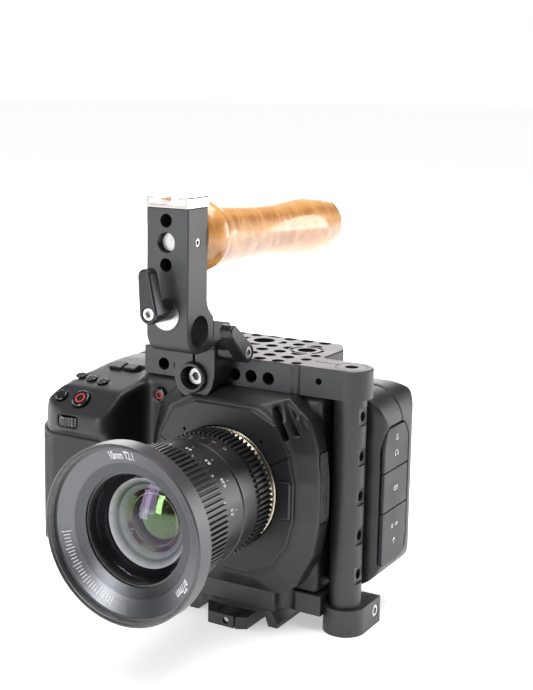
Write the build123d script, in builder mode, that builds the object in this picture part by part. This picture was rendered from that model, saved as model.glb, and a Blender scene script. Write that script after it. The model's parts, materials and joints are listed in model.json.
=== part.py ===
"""Cinema camera rig: a compact digital cinema camera with a wide lens, in a machined half cage
with a top plate, side rod, dovetail base and a clamped top handle with a wooden grip.

The part frame has its origin at the mouth of the tripod thread under the base plate, +Z up,
and the lens looks along -Y. Places are given from the lens mount face on the lens axis, by the
planes level(), front() and side(), which carry them into the part frame.
"""
import os
from math import atan2, cos, degrees, pi, radians, sin

from build123d import *

os.makedirs("parts", exist_ok=True)

# ---- the datum: lens mount face on the lens axis, seen from the tripod thread ----
AXIS_Z = 62.4
FLANGE_Y = -42.0

# ---- camera body ----
BODY_LEFT = -112.0
BODY_RIGHT = 66.0
BODY_BOTTOM = -52.0
BODY_TOP = 45.0
BODY_REAR = 84.5
SEAM_Y = 60.0
WALL = 3.0
RECESS_Y = 20.0
WING_Y = 38.0
NECK_X = 42.0

# ---- threads and rods, as major radii ----
QUARTER_INCH = 3.175
THREE_EIGHTHS = 4.7625
ROD_R = 7.75
STUB_R = 7.5

# ---- cage ----
PLATE_TOP = 59.3
PLATE_BOTTOM = 45.2
PLATE_FRONT = 18.5
ROD_X = 52.3
ROD_Y = 29.5
BOSS_R = 10.4
BASE_TOP = -52.1
BASE_BOTTOM = -AXIS_Z
FOOT_Z = -70.5

# ---- handle ----
POST_X = -18.7
POST_W = 22.8
POST_FRONT = -20.0
POST_BACK = -3.0
POST_TOP = 133.4
STUB_X = -19.0
STUB_Z = 50.2
CLAMP_R = 11.0
CLAMP_FRONT = 4.0
GRIP_Z = 119.0

# ---- lens ----
BELL_R = 40.0
FILTER_R = 38.5
RIM_Y = -83.4
FOCUS_TEETH = 78
IRIS_TEETH = 73
MODULE = 0.8


def level(z, x=0.0, y=0.0):
    """A horizontal plane at height z from the lens axis: sketch x is X, sketch y is Y."""
    return Plane((x, y + FLANGE_Y, z + AXIS_Z))


def front(y, x=0.0, z=0.0):
    """A plane facing forward, y behind the mount face: sketch x is X, sketch y is Z."""
    return Plane((x, y + FLANGE_Y, z + AXIS_Z), x_dir=(1, 0, 0), z_dir=(0, -1, 0))


def side(x, y=0.0, z=0.0):
    """A plane facing right at x: sketch x is Y, sketch y is Z."""
    return Plane((x, y + FLANGE_Y, z + AXIS_Z), x_dir=(0, 1, 0), z_dir=(1, 0, 0))


LENS_AXIS = Axis((0, FLANGE_Y, AXIS_Z), (0, 1, 0))


def outline(corners):
    """A closed face through (x, y, radius) corners; radius 0 keeps a corner sharp."""
    with BuildSketch() as face:
        with BuildLine():
            Polyline([(x, y) for x, y, radius in corners], close=True)
        make_face()
        for x, y, radius in corners:
            if radius > 0:
                fillet(face.vertices().sort_by_distance((x, y))[0], radius)
    return face.sketch


def ring_of_teeth(count, tip_radius, inner_radius):
    """A gear ring's face: straight-sided teeth of the standard lens pitch."""
    root_radius = tip_radius - 1.8 * MODULE
    step = 2 * pi / count
    corners = []
    for tooth in range(count):
        for share, radius in ((0.0, root_radius), (0.27, root_radius), (0.38, tip_radius), (0.86, tip_radius)):
            angle = (tooth + share) * step
            corners.append((radius * cos(angle), radius * sin(angle)))
    with BuildSketch() as face:
        with BuildLine():
            Polyline(corners, close=True)
        make_face()
        Circle(inner_radius, mode=Mode.SUBTRACT)
    return face.sketch


def turned(profile):
    """A body turned about the lens axis from (radius, depth) corners."""
    with BuildPart() as body:
        with BuildSketch(level(0)):
            with BuildLine():
                Polyline(profile, close=True)
            make_face()
        revolve(axis=LENS_AXIS)
    return body


def dome(apex, rim_radius, rise):
    """Three (radius, depth) points of a spherical face; a negative rise bulges forward."""
    sphere = (rim_radius ** 2 + rise ** 2) / (2 * abs(rise))
    middle = sphere - (sphere ** 2 - (rim_radius / 2) ** 2) ** 0.5
    sign = -1 if rise < 0 else 1
    return (0, apex), (rim_radius / 2, apex - sign * middle), (rim_radius, apex - rise)


def socket_screw(seat, head_radius, head_height, shank_radius, shank_length):
    """A hex socket screw standing on its seat plane, whose normal points out of the head."""
    with BuildPart() as screw:
        with BuildSketch(seat):
            Circle(head_radius)
        extrude(amount=head_height)
        chamfer(screw.faces().sort_by(Axis(seat.origin, seat.z_dir))[-1].edges(), head_height * 0.15)
        with BuildSketch(seat.offset(head_height)):
            RegularPolygon(head_radius * 0.5, 6)
        extrude(amount=-head_height * 0.7, mode=Mode.SUBTRACT)
        with BuildSketch(seat):
            Circle(shank_radius)
        extrude(amount=-shank_length)
    return screw


def push_button(seat, radius, cap_height, stem_length):
    """A round button: a domed cap on a thinner stem that runs back into the casing."""
    with BuildPart() as button:
        with BuildSketch(seat):
            Circle(radius)
        extrude(amount=cap_height)
        fillet(button.faces().sort_by(Axis(seat.origin, seat.z_dir))[-1].edges(), cap_height * 0.6)
        with BuildSketch(seat):
            Circle(radius - 1.0)
        extrude(amount=-stem_length)
    return button


# ================= camera body =================

# The outer form is drawn three ways, from above, from the front and from the side, and kept
# where all three agree.
grip_plan = outline([
    (BODY_LEFT, -9, 26), (-63, -9, 9), (-57, RECESS_Y, 5), (-50, RECESS_Y, 0),
    (-50, BODY_REAR, 0), (BODY_LEFT, BODY_REAR, 16)])
grip_front = outline([
    (BODY_LEFT, BODY_BOTTOM, 9), (-50, BODY_BOTTOM, 0), (-50, BODY_TOP, 0),
    (-91, BODY_TOP, 9), (BODY_LEFT, 18, 10)])
grip_side = outline([
    (4, BODY_BOTTOM, 5), (-4, -44, 12), (-5, 13.5, 2), (-8.6, 16.5, 2), (-8.6, 25, 3),
    (4, 36.5, 6), (34, 43.5, 20), (46, BODY_TOP, 0), (BODY_REAR, BODY_TOP, 14),
    (BODY_REAR, BODY_BOTTOM, 14)])

with BuildPart() as grip_form:
    with BuildSketch(level(BODY_BOTTOM)):
        add(grip_plan)
    extrude(amount=BODY_TOP - BODY_BOTTOM)
    with BuildSketch(front(BODY_REAR + 1)):
        add(grip_front)
    extrude(amount=BODY_REAR + 20, mode=Mode.INTERSECT)
    with BuildSketch(side(BODY_LEFT - 1)):
        add(grip_side)
    extrude(amount=80, mode=Mode.INTERSECT)

main_plan = outline([
    (-60, RECESS_Y, 0), (NECK_X, RECESS_Y, 3), (NECK_X, WING_Y, 3), (BODY_RIGHT, WING_Y, 7),
    (BODY_RIGHT, BODY_REAR, 15), (-60, BODY_REAR, 0)])
main_front = outline([
    (-60, BODY_BOTTOM, 0), (BODY_RIGHT, BODY_BOTTOM, 17), (BODY_RIGHT, BODY_TOP, 17),
    (-60, BODY_TOP, 0)])
main_side = outline([
    (RECESS_Y, BODY_BOTTOM, 0), (RECESS_Y, BODY_TOP, 4), (BODY_REAR, BODY_TOP, 14),
    (BODY_REAR, BODY_BOTTOM, 14)])

with BuildPart() as main_form:
    with BuildSketch(level(BODY_BOTTOM)):
        add(main_plan)
    extrude(amount=BODY_TOP - BODY_BOTTOM)
    with BuildSketch(front(BODY_REAR + 1)):
        add(main_front)
    extrude(amount=BODY_REAR, mode=Mode.INTERSECT)
    with BuildSketch(side(-61)):
        add(main_side)
    extrude(amount=BODY_RIGHT + 62, mode=Mode.INTERSECT)

# The nose around the lens mount is a sixteen-sided block that widens and deepens to the rear.
NOSE_RIGHT = [(17, 41.5), (30, 35), (37, 22), (40, 8), (40, -10), (37, -23), (28, -36), (15, -42)]
NOSE_ROOT = [(30, BODY_TOP), (41, 36), (45.5, 20), (47, 6), (47, -12), (44, -30), (36, -46), (28, BODY_BOTTOM)]

with BuildPart() as nose_form:
    for depth, half in ((1, NOSE_RIGHT), (10, NOSE_ROOT)):
        with BuildSketch(front(depth)):
            with BuildLine():
                Polyline(half + [(-x, z) for x, z in reversed(half)], close=True)
            make_face()
    loft(ruled=True)
    chamfer(nose_form.faces().sort_by(Axis.Y)[0].edges(), 1.2)
    with BuildSketch(front(22)):
        with BuildLine():
            Polyline(NOSE_ROOT + [(-x, z) for x, z in reversed(NOSE_ROOT)], close=True)
        make_face()
    extrude(amount=12)

with BuildPart() as camera_form:
    add(main_form.part)
    add(grip_form.part)
    add(nose_form.part)


MOUNT_R = 29.4
THROAT_R = 22.5
SENSOR_Y = 19.25
DECK_TILT = degrees(atan2(7, 30))
SLOPE_TILT = degrees(atan2(11.5, 12.6))
CLEAR = 0.35
PRESS = 0.6


def tilted(x, y, z, tilt):
    """A plane on the grip's top, leaning forward by tilt degrees."""
    return Plane((x, y + FLANGE_Y, z + AXIS_Z), x_dir=(1, 0, 0),
                 z_dir=(0, -sin(radians(tilt)), cos(radians(tilt))))


# Each button: its seat plane, radius and cap height.
BUTTONS = {
    "record_button_top": (tilted(-82.5, -1.6, 31.6, SLOPE_TILT), 4.8, 1.3),
    "stills_button": (tilted(-95.0, -1.4, 31.8, SLOPE_TILT), 3.1, 1.1),
    "iso_button": (tilted(-94.6, 14.6, 39.05, DECK_TILT), 2.9, 1.0),
    "shutter_button": (tilted(-86.8, 13.2, 38.7, DECK_TILT), 2.9, 1.0),
    "white_balance_button": (tilted(-78.8, 11.8, 38.35, DECK_TILT), 2.9, 1.0),
    "record_button_front": (front(RECESS_Y, -49.0, 34.2), 3.4, 1.2),
    "menu_button": (Plane((-90, BODY_REAR + FLANGE_Y, 14 + AXIS_Z), x_dir=(-1, 0, 0), z_dir=(0, 1, 0)), 3.2, 1.1),
    "play_button": (Plane((-90, BODY_REAR + FLANGE_Y, 2 + AXIS_Z), x_dir=(-1, 0, 0), z_dir=(0, 1, 0)), 3.2, 1.1),
}
BUTTON_STEM = 4.0
buttons = {name: push_button(seat, radius, height, BUTTON_STEM)
           for name, (seat, radius, height) in BUTTONS.items()}

DOOR_FRONT = 40.5
DOOR_REAR = 68.5
DOOR_THICK = 1.8
DOOR_EDGES = [28.0, 6.5, -13.5, -40.0]
PANEL_DEPTH = 4.5
WHEEL = (-86.0, -0.8, 21.0)
WHEEL_R = 9.0
WHEEL_H = 4.6
RELEASE = (34.4, -0.8)
BAR_SEAT = (31.0, 42.8)
TALLY_X = -82.6
SWITCH_X = -72.6
SWITCH_TRAVEL = 3.0
BATTERY_DOOR = (-87.5, 31.5, 32.0, 46.0)
LCD_CENTRE = (-6.0, -1.0)
LCD_SIZE = (126.0, 80.0)

door_recess = outline([
    (DOOR_FRONT - 0.4, -40.6, 2.5), (DOOR_REAR - 3, -40.6, 5), (DOOR_REAR + 0.4, -30, 3),
    (DOOR_REAR + 0.4, 20, 5), (DOOR_REAR - 5, 28.6, 7), (DOOR_FRONT + 3, 28.6, 5), (DOOR_FRONT - 0.4, 18, 6)])

with BuildPart() as casing:
    add(camera_form.part)
    # the rooms inside: main bay, port bay behind the doors, battery well in the grip
    with BuildSketch(level(BODY_BOTTOM + WALL)):
        with Locations((-6.5, 52.5)):
            RectangleRounded(95, 57, 4)
    extrude(amount=BODY_TOP - BODY_BOTTOM - 2 * WALL, mode=Mode.SUBTRACT)
    with BuildSketch(level(-45)):
        with Locations((49, 61)):
            Rectangle(20, 36)
    extrude(amount=82, mode=Mode.SUBTRACT)
    with BuildSketch(level(BODY_BOTTOM)):
        with Locations(BATTERY_DOOR[:2]):
            Rectangle(24, 42)
    extrude(amount=64, mode=Mode.SUBTRACT)
    # the lens throat and the seat of the mount ring
    with BuildSketch(front(26)):
        Circle(THROAT_R)
    extrude(amount=30, mode=Mode.SUBTRACT)
    with BuildSketch(front(4)):
        Circle(MOUNT_R)
    extrude(amount=6, mode=Mode.SUBTRACT)
    # the recess of the side doors and the well of the port panel behind it
    with BuildSketch(side(BODY_RIGHT - 2.4)):
        add(door_recess)
    extrude(amount=6, mode=Mode.SUBTRACT)
    with BuildSketch(side(BODY_RIGHT - 12)):
        with Locations((54.5, -6)):
            RectangleRounded(22, 60, 4)
    extrude(amount=12, mode=Mode.SUBTRACT)
    # button holes, each a running clearance wider than its button
    for seat, radius, height in BUTTONS.values():
        with BuildSketch(seat):
            Circle(radius + CLEAR)
        extrude(amount=4, mode=Mode.SUBTRACT)
        with BuildSketch(seat):
            Circle(radius + CLEAR)
        extrude(amount=-PRESS - 0.4, mode=Mode.SUBTRACT)
        with BuildSketch(seat):
            Circle(radius - 1.0 + CLEAR)
        extrude(amount=-BUTTON_STEM - PRESS - 0.6, mode=Mode.SUBTRACT)
    # the control wheel's slot, which keeps a pin for its bore
    with BuildSketch(level(WHEEL[2] - 2.9, WHEEL[0], WHEEL[1])):
        Circle(WHEEL_R + 0.5)
        Circle(1.5, mode=Mode.SUBTRACT)
    extrude(amount=5.8, mode=Mode.SUBTRACT)
    # the pocket of the side grille, with a deeper dark well behind it
    with BuildSketch(side(45.2, 16.4, 3)):
        RectangleRounded(8.5, 34.1, 1.4)
    extrude(amount=4, mode=Mode.SUBTRACT)
    with BuildSketch(side(42.6, 16.4, 3)):
        RectangleRounded(7.4, 33, 1.0)
    extrude(amount=4, mode=Mode.SUBTRACT)
    # the scallop that clears the round underside of the handle's clamp block
    with BuildSketch(front(PLATE_FRONT + 0.4, STUB_X, STUB_Z)):
        Circle(CLAMP_R + 0.3)
    extrude(amount=PLATE_FRONT + 0.4 - CLAMP_FRONT + 0.3, mode=Mode.SUBTRACT)
    # the lens release pocket
    with BuildSketch(front(8, *RELEASE)):
        RectangleRounded(6 + 2 * CLEAR, 18.5 + 2 * CLEAR, 1.6)
    extrude(amount=10, mode=Mode.SUBTRACT)
    # the seat of the tally bar and, beside it, the power slide's slot
    with BuildSketch(tilted(TALLY_X, *BAR_SEAT, DECK_TILT)):
        RectangleRounded(7.8, 7.8, 1.2)
    extrude(amount=-1, mode=Mode.SUBTRACT)
    with BuildSketch(tilted(SWITCH_X, *BAR_SEAT, DECK_TILT)):
        RectangleRounded(7.2 + SWITCH_TRAVEL + 0.8, 7.2, 1.2)
    extrude(amount=-2, mode=Mode.SUBTRACT)
    # the battery door's seat in the grip floor
    with BuildSketch(level(BODY_BOTTOM - 1, BATTERY_DOOR[0], BATTERY_DOOR[1])):
        RectangleRounded(BATTERY_DOOR[2] + 0.8, BATTERY_DOOR[3] + 0.8, 2)
    extrude(amount=3.6, mode=Mode.SUBTRACT)
    # the seat of the display and the three vent slots beside the nose
    with BuildSketch(front(BODY_REAR + 1, *LCD_CENTRE)):
        RectangleRounded(LCD_SIZE[0], LCD_SIZE[1], 8)
    extrude(amount=3.5, mode=Mode.SUBTRACT)
    with BuildSketch(front(9)):
        with Locations(Location((33.5, 36.5), -62)):
            with GridLocations(0, 4.6, 1, 3):
                SlotOverall(17, 3.0)
    extrude(amount=14, mode=Mode.SUBTRACT)

# The casing parts into a front and a rear shell along the seam.
with BuildPart() as front_casing:
    add(casing.part)
    split(bisect_by=Plane.XZ.offset(-(SEAM_Y + FLANGE_Y)), keep=Keep.TOP)
front_casing.part.label = "front_casing"
export_step(front_casing.part, "parts/front_casing.step")

with BuildPart() as rear_casing:
    add(casing.part)
    split(bisect_by=Plane.XZ.offset(-(SEAM_Y + FLANGE_Y)), keep=Keep.BOTTOM)
rear_casing.part.label = "rear_casing"
export_step(rear_casing.part, "parts/rear_casing.step")

# The cover around the mount is one octagonal plate in two halves, parted along two radii.
COVER = [(15.5, 40), (28.5, 34), (35.5, 21.5), (38.5, 8), (38.5, -10), (35.5, -22.5), (27, -34.5), (14.5, -40.5)]
COVER_THICK = 1.3

with BuildPart() as cover_blank:
    with BuildSketch(front(1)):
        with BuildLine():
            Polyline(COVER + [(-x, z) for x, z in reversed(COVER)], close=True)
        make_face()
        Circle(MOUNT_R + 0.6, mode=Mode.SUBTRACT)
    extrude(amount=COVER_THICK)
    chamfer(cover_blank.faces().sort_by(Axis.Y)[0].outer_wire().edges(), 0.7)
    with BuildSketch(front(2, *RELEASE)):
        RectangleRounded(6 + 2 * CLEAR, 18.5 + 2 * CLEAR, 1.6)
    extrude(amount=6, mode=Mode.SUBTRACT)
    with BuildSketch(front(2)):
        with PolarLocations(33, 2, start_angle=50, angular_range=80, endpoint=True):
            Circle(0.9)
    extrude(amount=6, mode=Mode.SUBTRACT)

UPPER_SECTOR = [(0, 0), (60, 34), (60, 60), (-60, 60), (-60, 34)]
with BuildPart() as mount_cover_upper:
    add(cover_blank.part)
    with BuildSketch(front(3)):
        with BuildLine():
            Polyline(UPPER_SECTOR, close=True)
        make_face()
    extrude(amount=8, mode=Mode.INTERSECT)
mount_cover_upper.part.label = "mount_cover_upper"
export_step(mount_cover_upper.part, "parts/mount_cover_upper.step")

with BuildPart() as mount_cover_lower:
    add(cover_blank.part)
    with BuildSketch(front(3, 0, -0.5)):
        with BuildLine():
            Polyline(UPPER_SECTOR, close=True)
        make_face()
    extrude(amount=8, mode=Mode.SUBTRACT)
mount_cover_lower.part.label = "mount_cover_lower"
export_step(mount_cover_lower.part, "parts/mount_cover_lower.step")

# The grip's rubber wraps the front and the outer side of the grip, below the wheel.
RUBBER_THICK = 1.1
with BuildPart() as grip_rubber:
    with BuildSketch(level(-46)):
        add(outline([
            (BODY_LEFT - RUBBER_THICK, -7, 21), (-66, -7, 8), (-64, 0, 2), (-80, 20, 0),
            (-100, 30, 0), (-100, 62, 0), (BODY_LEFT - RUBBER_THICK, 64, 3)]))
    extrude(amount=61)
    with BuildSketch(side(BODY_LEFT - 10)):
        add(outline([
            (-2.5, -46, 4), (-6.4, -40, 3), (-6.4, 12.9, 1.5), (8, 14.5, 8), (30, 11, 10), (64, 6, 4), (64, -46, 4)]))
    extrude(amount=80, mode=Mode.INTERSECT)
    add(grip_form.part, mode=Mode.SUBTRACT)
grip_rubber.part.label = "grip_rubber"
export_step(grip_rubber.part, "parts/grip_rubber.step")

with BuildPart() as mount_ring:
    with BuildSketch(front(4)):
        Circle(MOUNT_R - 0.02)
        Circle(THROAT_R, mode=Mode.SUBTRACT)
    extrude(amount=4.6)
    chamfer(mount_ring.faces().sort_by(Axis.Y)[0].outer_wire().edges(), 0.5)
mount_ring.part.label = "mount_ring"
export_step(mount_ring.part, "parts/mount_ring.step")

# The cooling grille on the nose's right flank: a thin plate with rows of square holes.
with BuildPart() as side_grille:
    with BuildSketch(side(45.25, 16.4, 3)):
        RectangleRounded(8.4, 34, 1.35)
        with GridLocations(1.9, 1.9, 4, 17):
            Rectangle(1.15, 1.15, mode=Mode.SUBTRACT)
    extrude(amount=0.7)
side_grille.part.label = "side_grille"
export_step(side_grille.part, "parts/side_grille.step")

with BuildPart() as image_sensor:
    with BuildSketch(front(SENSOR_Y + 3)):
        RectangleRounded(34, 26, 2)
    extrude(amount=3)
    with BuildSketch(front(SENSOR_Y)):
        Rectangle(19.6, 10.8)
    extrude(amount=0.8)
image_sensor.part.label = "image_sensor"
export_step(image_sensor.part, "parts/image_sensor.step")

with BuildPart() as main_board:
    with BuildSketch(front(52, -4)):
        RectangleRounded(78, 80, 3)
    extrude(amount=1.6)
    with BuildSketch(front(50.4, -4)):
        with GridLocations(25, 23, 3, 3):
            Rectangle(12, 12)
    extrude(amount=1.6)
main_board.part.label = "main_board"
export_step(main_board.part, "parts/main_board.step")

with BuildPart() as heat_sink:
    with BuildSketch(front(48.8, -4, 16)):
        Rectangle(70, 40)
    extrude(amount=3)
    with BuildSketch(front(45.8, -4, 16)):
        with GridLocations(6, 0, 11, 1):
            Rectangle(1.6, 38)
    extrude(amount=16)
heat_sink.part.label = "heat_sink"
export_step(heat_sink.part, "parts/heat_sink.step")

FAN = (-4.0, -26.0)
with BuildPart() as fan_frame:
    with BuildSketch(front(48.8, *FAN)):
        RectangleRounded(40, 40, 3)
    extrude(amount=12)
    with BuildSketch(front(46.8, *FAN)):
        Circle(18)
        Circle(2, mode=Mode.SUBTRACT)
    extrude(amount=12, mode=Mode.SUBTRACT)
fan_frame.part.label = "fan_frame"
export_step(fan_frame.part, "parts/fan_frame.step")

with BuildPart() as fan_impeller:
    with BuildSketch(front(45.8, *FAN)):
        Circle(7)
        Circle(2.05, mode=Mode.SUBTRACT)
        with PolarLocations(11.6, 9):
            Rectangle(10.5, 1.4, rotation=24)
    extrude(amount=8)
fan_impeller.part.label = "fan_impeller"
export_step(fan_impeller.part, "parts/fan_impeller.step")

with BuildPart() as battery:
    with BuildSketch(level(-48.5, BATTERY_DOOR[0], BATTERY_DOOR[1])):
        RectangleRounded(20.8, 38.7, 2.5)
    extrude(amount=57)
battery.part.label = "battery"
export_step(battery.part, "parts/battery.step")

with BuildPart() as lcd_bezel:
    with BuildSketch(front(BODY_REAR, *LCD_CENTRE)):
        RectangleRounded(LCD_SIZE[0] - 0.1, LCD_SIZE[1] - 0.1, 7.9)
        RectangleRounded(114, 68, 3, mode=Mode.SUBTRACT)
    extrude(amount=2.5)
lcd_bezel.part.label = "lcd_bezel"
export_step(lcd_bezel.part, "parts/lcd_bezel.step")

with BuildPart() as lcd_glass:
    with BuildSketch(front(BODY_REAR - 0.4, *LCD_CENTRE)):
        RectangleRounded(113.9, 67.9, 2.9)
    extrude(amount=2.1)
lcd_glass.part.label = "lcd_glass"
export_step(lcd_glass.part, "parts/lcd_glass.step")

with BuildPart() as port_panel:
    with BuildSketch(side(BODY_RIGHT - 12)):
        with Locations((54.5, -6)):
            RectangleRounded(21.9, 59.9, 3.9)
    extrude(amount=12 - PANEL_DEPTH)
    with BuildSketch(side(BODY_RIGHT - PANEL_DEPTH)):
        with Locations((54.5, 20), (54.5, 11)):
            Circle(2.6)
        with Locations((54.5, -4)):
            Rectangle(5, 14)
        with Locations((54.5, -17)):
            SlotOverall(8.5, 3)
        with Locations((54.5, -28)):
            Circle(4.5)
    extrude(amount=-6, mode=Mode.SUBTRACT)
port_panel.part.label = "port_panel"
export_step(port_panel.part, "parts/port_panel.step")

with BuildPart() as tally_bar:
    with BuildSketch(tilted(TALLY_X, *BAR_SEAT, DECK_TILT).offset(-1)):
        RectangleRounded(7.8, 7.8, 1.2)
    extrude(amount=2.2)
    fillet(tally_bar.faces().sort_by(Axis.Z)[-1].edges(), 0.6)
tally_bar.part.label = "tally_bar"
export_step(tally_bar.part, "parts/tally_bar.step")

# ---- buttons, wheel, slides and doors ----
for name, button in buttons.items():
    button.part.label = name
    export_step(button.part, f"parts/{name}.step")

with BuildPart() as power_switch:
    with BuildSketch(tilted(SWITCH_X - SWITCH_TRAVEL / 2, *BAR_SEAT, DECK_TILT).offset(-1.7)):
        RectangleRounded(7.2, 6.4, 1.1)
    extrude(amount=2.9)
    chamfer(power_switch.faces().sort_by(Axis.Z)[-1].edges(), 0.4)
power_switch.part.label = "power_switch"
export_step(power_switch.part, "parts/power_switch.step")

with BuildPart() as control_wheel:
    with BuildSketch(level(WHEEL[2] - WHEEL_H / 2, WHEEL[0], WHEEL[1])):
        Circle(WHEEL_R)
        Circle(1.55, mode=Mode.SUBTRACT)
        with PolarLocations(WHEEL_R, 30):
            Rectangle(0.9, 0.8, mode=Mode.SUBTRACT)
    extrude(amount=WHEEL_H)
control_wheel.part.label = "control_wheel"
export_step(control_wheel.part, "parts/control_wheel.step")

with BuildPart() as lens_release:
    with BuildSketch(front(5, *RELEASE)):
        RectangleRounded(6, 18.5, 1.4)
    extrude(amount=6.6)
    chamfer(lens_release.faces().sort_by(Axis.Y)[0].edges(), 0.6)
lens_release.part.label = "lens_release"
export_step(lens_release.part, "parts/lens_release.step")

# The three rubber doors fill the recess with thin gaps, on hinge pins along its front edge.
DOOR_NAMES = ["port_door_upper", "port_door_middle", "port_door_lower"]
door_outline = outline([
    (DOOR_FRONT, -40, 2), (DOOR_REAR - 3.2, -40, 4.6), (DOOR_REAR, -30, 3), (DOOR_REAR, 19.8, 5),
    (DOOR_REAR - 5, 28, 6.6), (DOOR_FRONT + 3, 28, 4.6), (DOOR_FRONT, 18, 6)])
for name, top, bottom in zip(DOOR_NAMES, DOOR_EDGES, DOOR_EDGES[1:]):
    with BuildPart() as port_door:
        with BuildSketch(side(BODY_RIGHT - 1.9)):
            add(door_outline)
            with Locations(((DOOR_FRONT + DOOR_REAR) / 2, (top + bottom) / 2)):
                Rectangle(60, top - bottom - 0.5, mode=Mode.INTERSECT)
        extrude(amount=DOOR_THICK)
    port_door.part.label = name
    export_step(port_door.part, f"parts/{name}.step")

with BuildPart() as battery_door:
    with BuildSketch(level(BODY_BOTTOM, BATTERY_DOOR[0], BATTERY_DOOR[1])):
        RectangleRounded(BATTERY_DOOR[2], BATTERY_DOOR[3], 1.6)
    extrude(amount=2.2)
    with BuildSketch(level(BODY_BOTTOM, BATTERY_DOOR[0], BATTERY_DOOR[1] - 18)):
        SlotOverall(14, 4)
    extrude(amount=0.8, mode=Mode.SUBTRACT)
battery_door.part.label = "battery_door"
export_step(battery_door.part, "parts/battery_door.step")

# ================= cage =================

TOP_HOLE_PITCH = 10.0
DECK_THICK = 4.9
with BuildPart() as top_plate:
    with BuildSketch(level(PLATE_BOTTOM)):
        add(outline([
            (-57.7, PLATE_FRONT, 1), (24, PLATE_FRONT, 1), (ROD_X, ROD_Y - BOSS_R, 0),
            (ROD_X, ROD_Y + BOSS_R, 0), (32, ROD_Y + BOSS_R, 3), (32, 63, 3), (25, 76, 3), (-57.7, 76, 4)]))
        with Locations((ROD_X, ROD_Y)):
            Circle(BOSS_R)
        with Locations((28.5, 15.0)):
            Circle(4.4, mode=Mode.SUBTRACT)
    extrude(amount=PLATE_TOP - PLATE_BOTTOM)
    chamfer(top_plate.faces().sort_by(Axis.Z)[-1].edges(), 0.5)
    # lightening pocket below, so that the deck is a plate on a rim
    with BuildSketch(level(PLATE_BOTTOM)):
        with Locations((-13.8, 51.5)):
            RectangleRounded(76, 36, 4)
    extrude(amount=PLATE_TOP - PLATE_BOTTOM - DECK_THICK, mode=Mode.SUBTRACT)
    # the deck's thread grid, its two round windows and the slots round the second one
    with BuildSketch(level(PLATE_TOP)):
        with Locations((-18.1, 47.4)):
            with GridLocations(TOP_HOLE_PITCH, TOP_HOLE_PITCH, 8, 6):
                Circle(QUARTER_INCH)
        with Locations((26.9, 32.4)):
            with GridLocations(TOP_HOLE_PITCH, TOP_HOLE_PITCH, 1, 3):
                Circle(2.6)
        with Locations((16.9, 52.4), (-13.1, 62.4)):
            Circle(9.6, mode=Mode.SUBTRACT)
        with Locations((16.9, 52.4), (-13.1, 62.4)):
            Circle(5.6)
        with Locations((16.9, 52.4)):
            Circle(8.8)
            Circle(7.0, mode=Mode.SUBTRACT)
            Circle(THREE_EIGHTHS)
            Rectangle(2.2, 20, rotation=35, mode=Mode.SUBTRACT)
            Rectangle(2.2, 20, rotation=-55, mode=Mode.SUBTRACT)
            Circle(THREE_EIGHTHS)
    extrude(amount=-DECK_THICK - 0.1, mode=Mode.SUBTRACT)
    # threads in the front edge
    with BuildSketch(front(PLATE_FRONT)):
        with Locations((-45.8, 50.8), (-36.8, 50.8), (-4.6, 50.8), (4.4, 50.8), (13.9, 50.8)):
            Circle(QUARTER_INCH)
    extrude(amount=-10, mode=Mode.SUBTRACT)
    # the rod's bore, its clamp slit and the small cross hole
    with BuildSketch(level(PLATE_BOTTOM)):
        with Locations((ROD_X, ROD_Y)):
            Circle(ROD_R)
        with Locations((ROD_X - 13, ROD_Y + 1.6)):
            Rectangle(14, 0.9)
    extrude(amount=20, mode=Mode.SUBTRACT)
    with BuildSketch(front(ROD_Y + 20)):
        with Locations((40.5, 52.8)):
            Circle(1.6)
    extrude(amount=40, mode=Mode.SUBTRACT)
top_plate.part.label = "top_plate"
export_step(top_plate.part, "parts/top_plate.step")

FLAT_PITCH = 19.4
with BuildPart() as side_rod:
    with BuildSketch(level(FOOT_Z + 0.8, ROD_X, ROD_Y)):
        Circle(ROD_R - 0.01)
    extrude(amount=PLATE_TOP - FOOT_Z - 0.8)
    chamfer(side_rod.faces().sort_by(Axis.Z)[-1].edges(), 0.4)
    with BuildSketch(level(PLATE_TOP, ROD_X, ROD_Y)):
        Circle(QUARTER_INCH)
    extrude(amount=-14, mode=Mode.SUBTRACT)
    # milled flats with tapped holes: five face right, four between them face right and back
    for turn, count, top in ((0, 5, 36.5), (55, 4, 26.8)):
        face = Plane((ROD_X, ROD_Y + FLANGE_Y, AXIS_Z), x_dir=(-sin(radians(turn)), cos(radians(turn)), 0),
                     z_dir=(cos(radians(turn)), sin(radians(turn)), 0))
        middle = top - FLAT_PITCH * (count - 1) / 2
        with BuildSketch(face.offset(ROD_R - 1.3)):
            with Locations((0, middle)):
                with GridLocations(1, FLAT_PITCH, 1, count):
                    Rectangle(2 * ROD_R, 8.6)
        extrude(amount=4, mode=Mode.SUBTRACT)
        with BuildSketch(face.offset(ROD_R - 1.3)):
            with Locations((0, middle)):
                with GridLocations(1, FLAT_PITCH, 1, count):
                    Circle(2.5)
        extrude(amount=-7, mode=Mode.SUBTRACT)
side_rod.part.label = "side_rod"
export_step(side_rod.part, "parts/side_rod.step")

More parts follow.
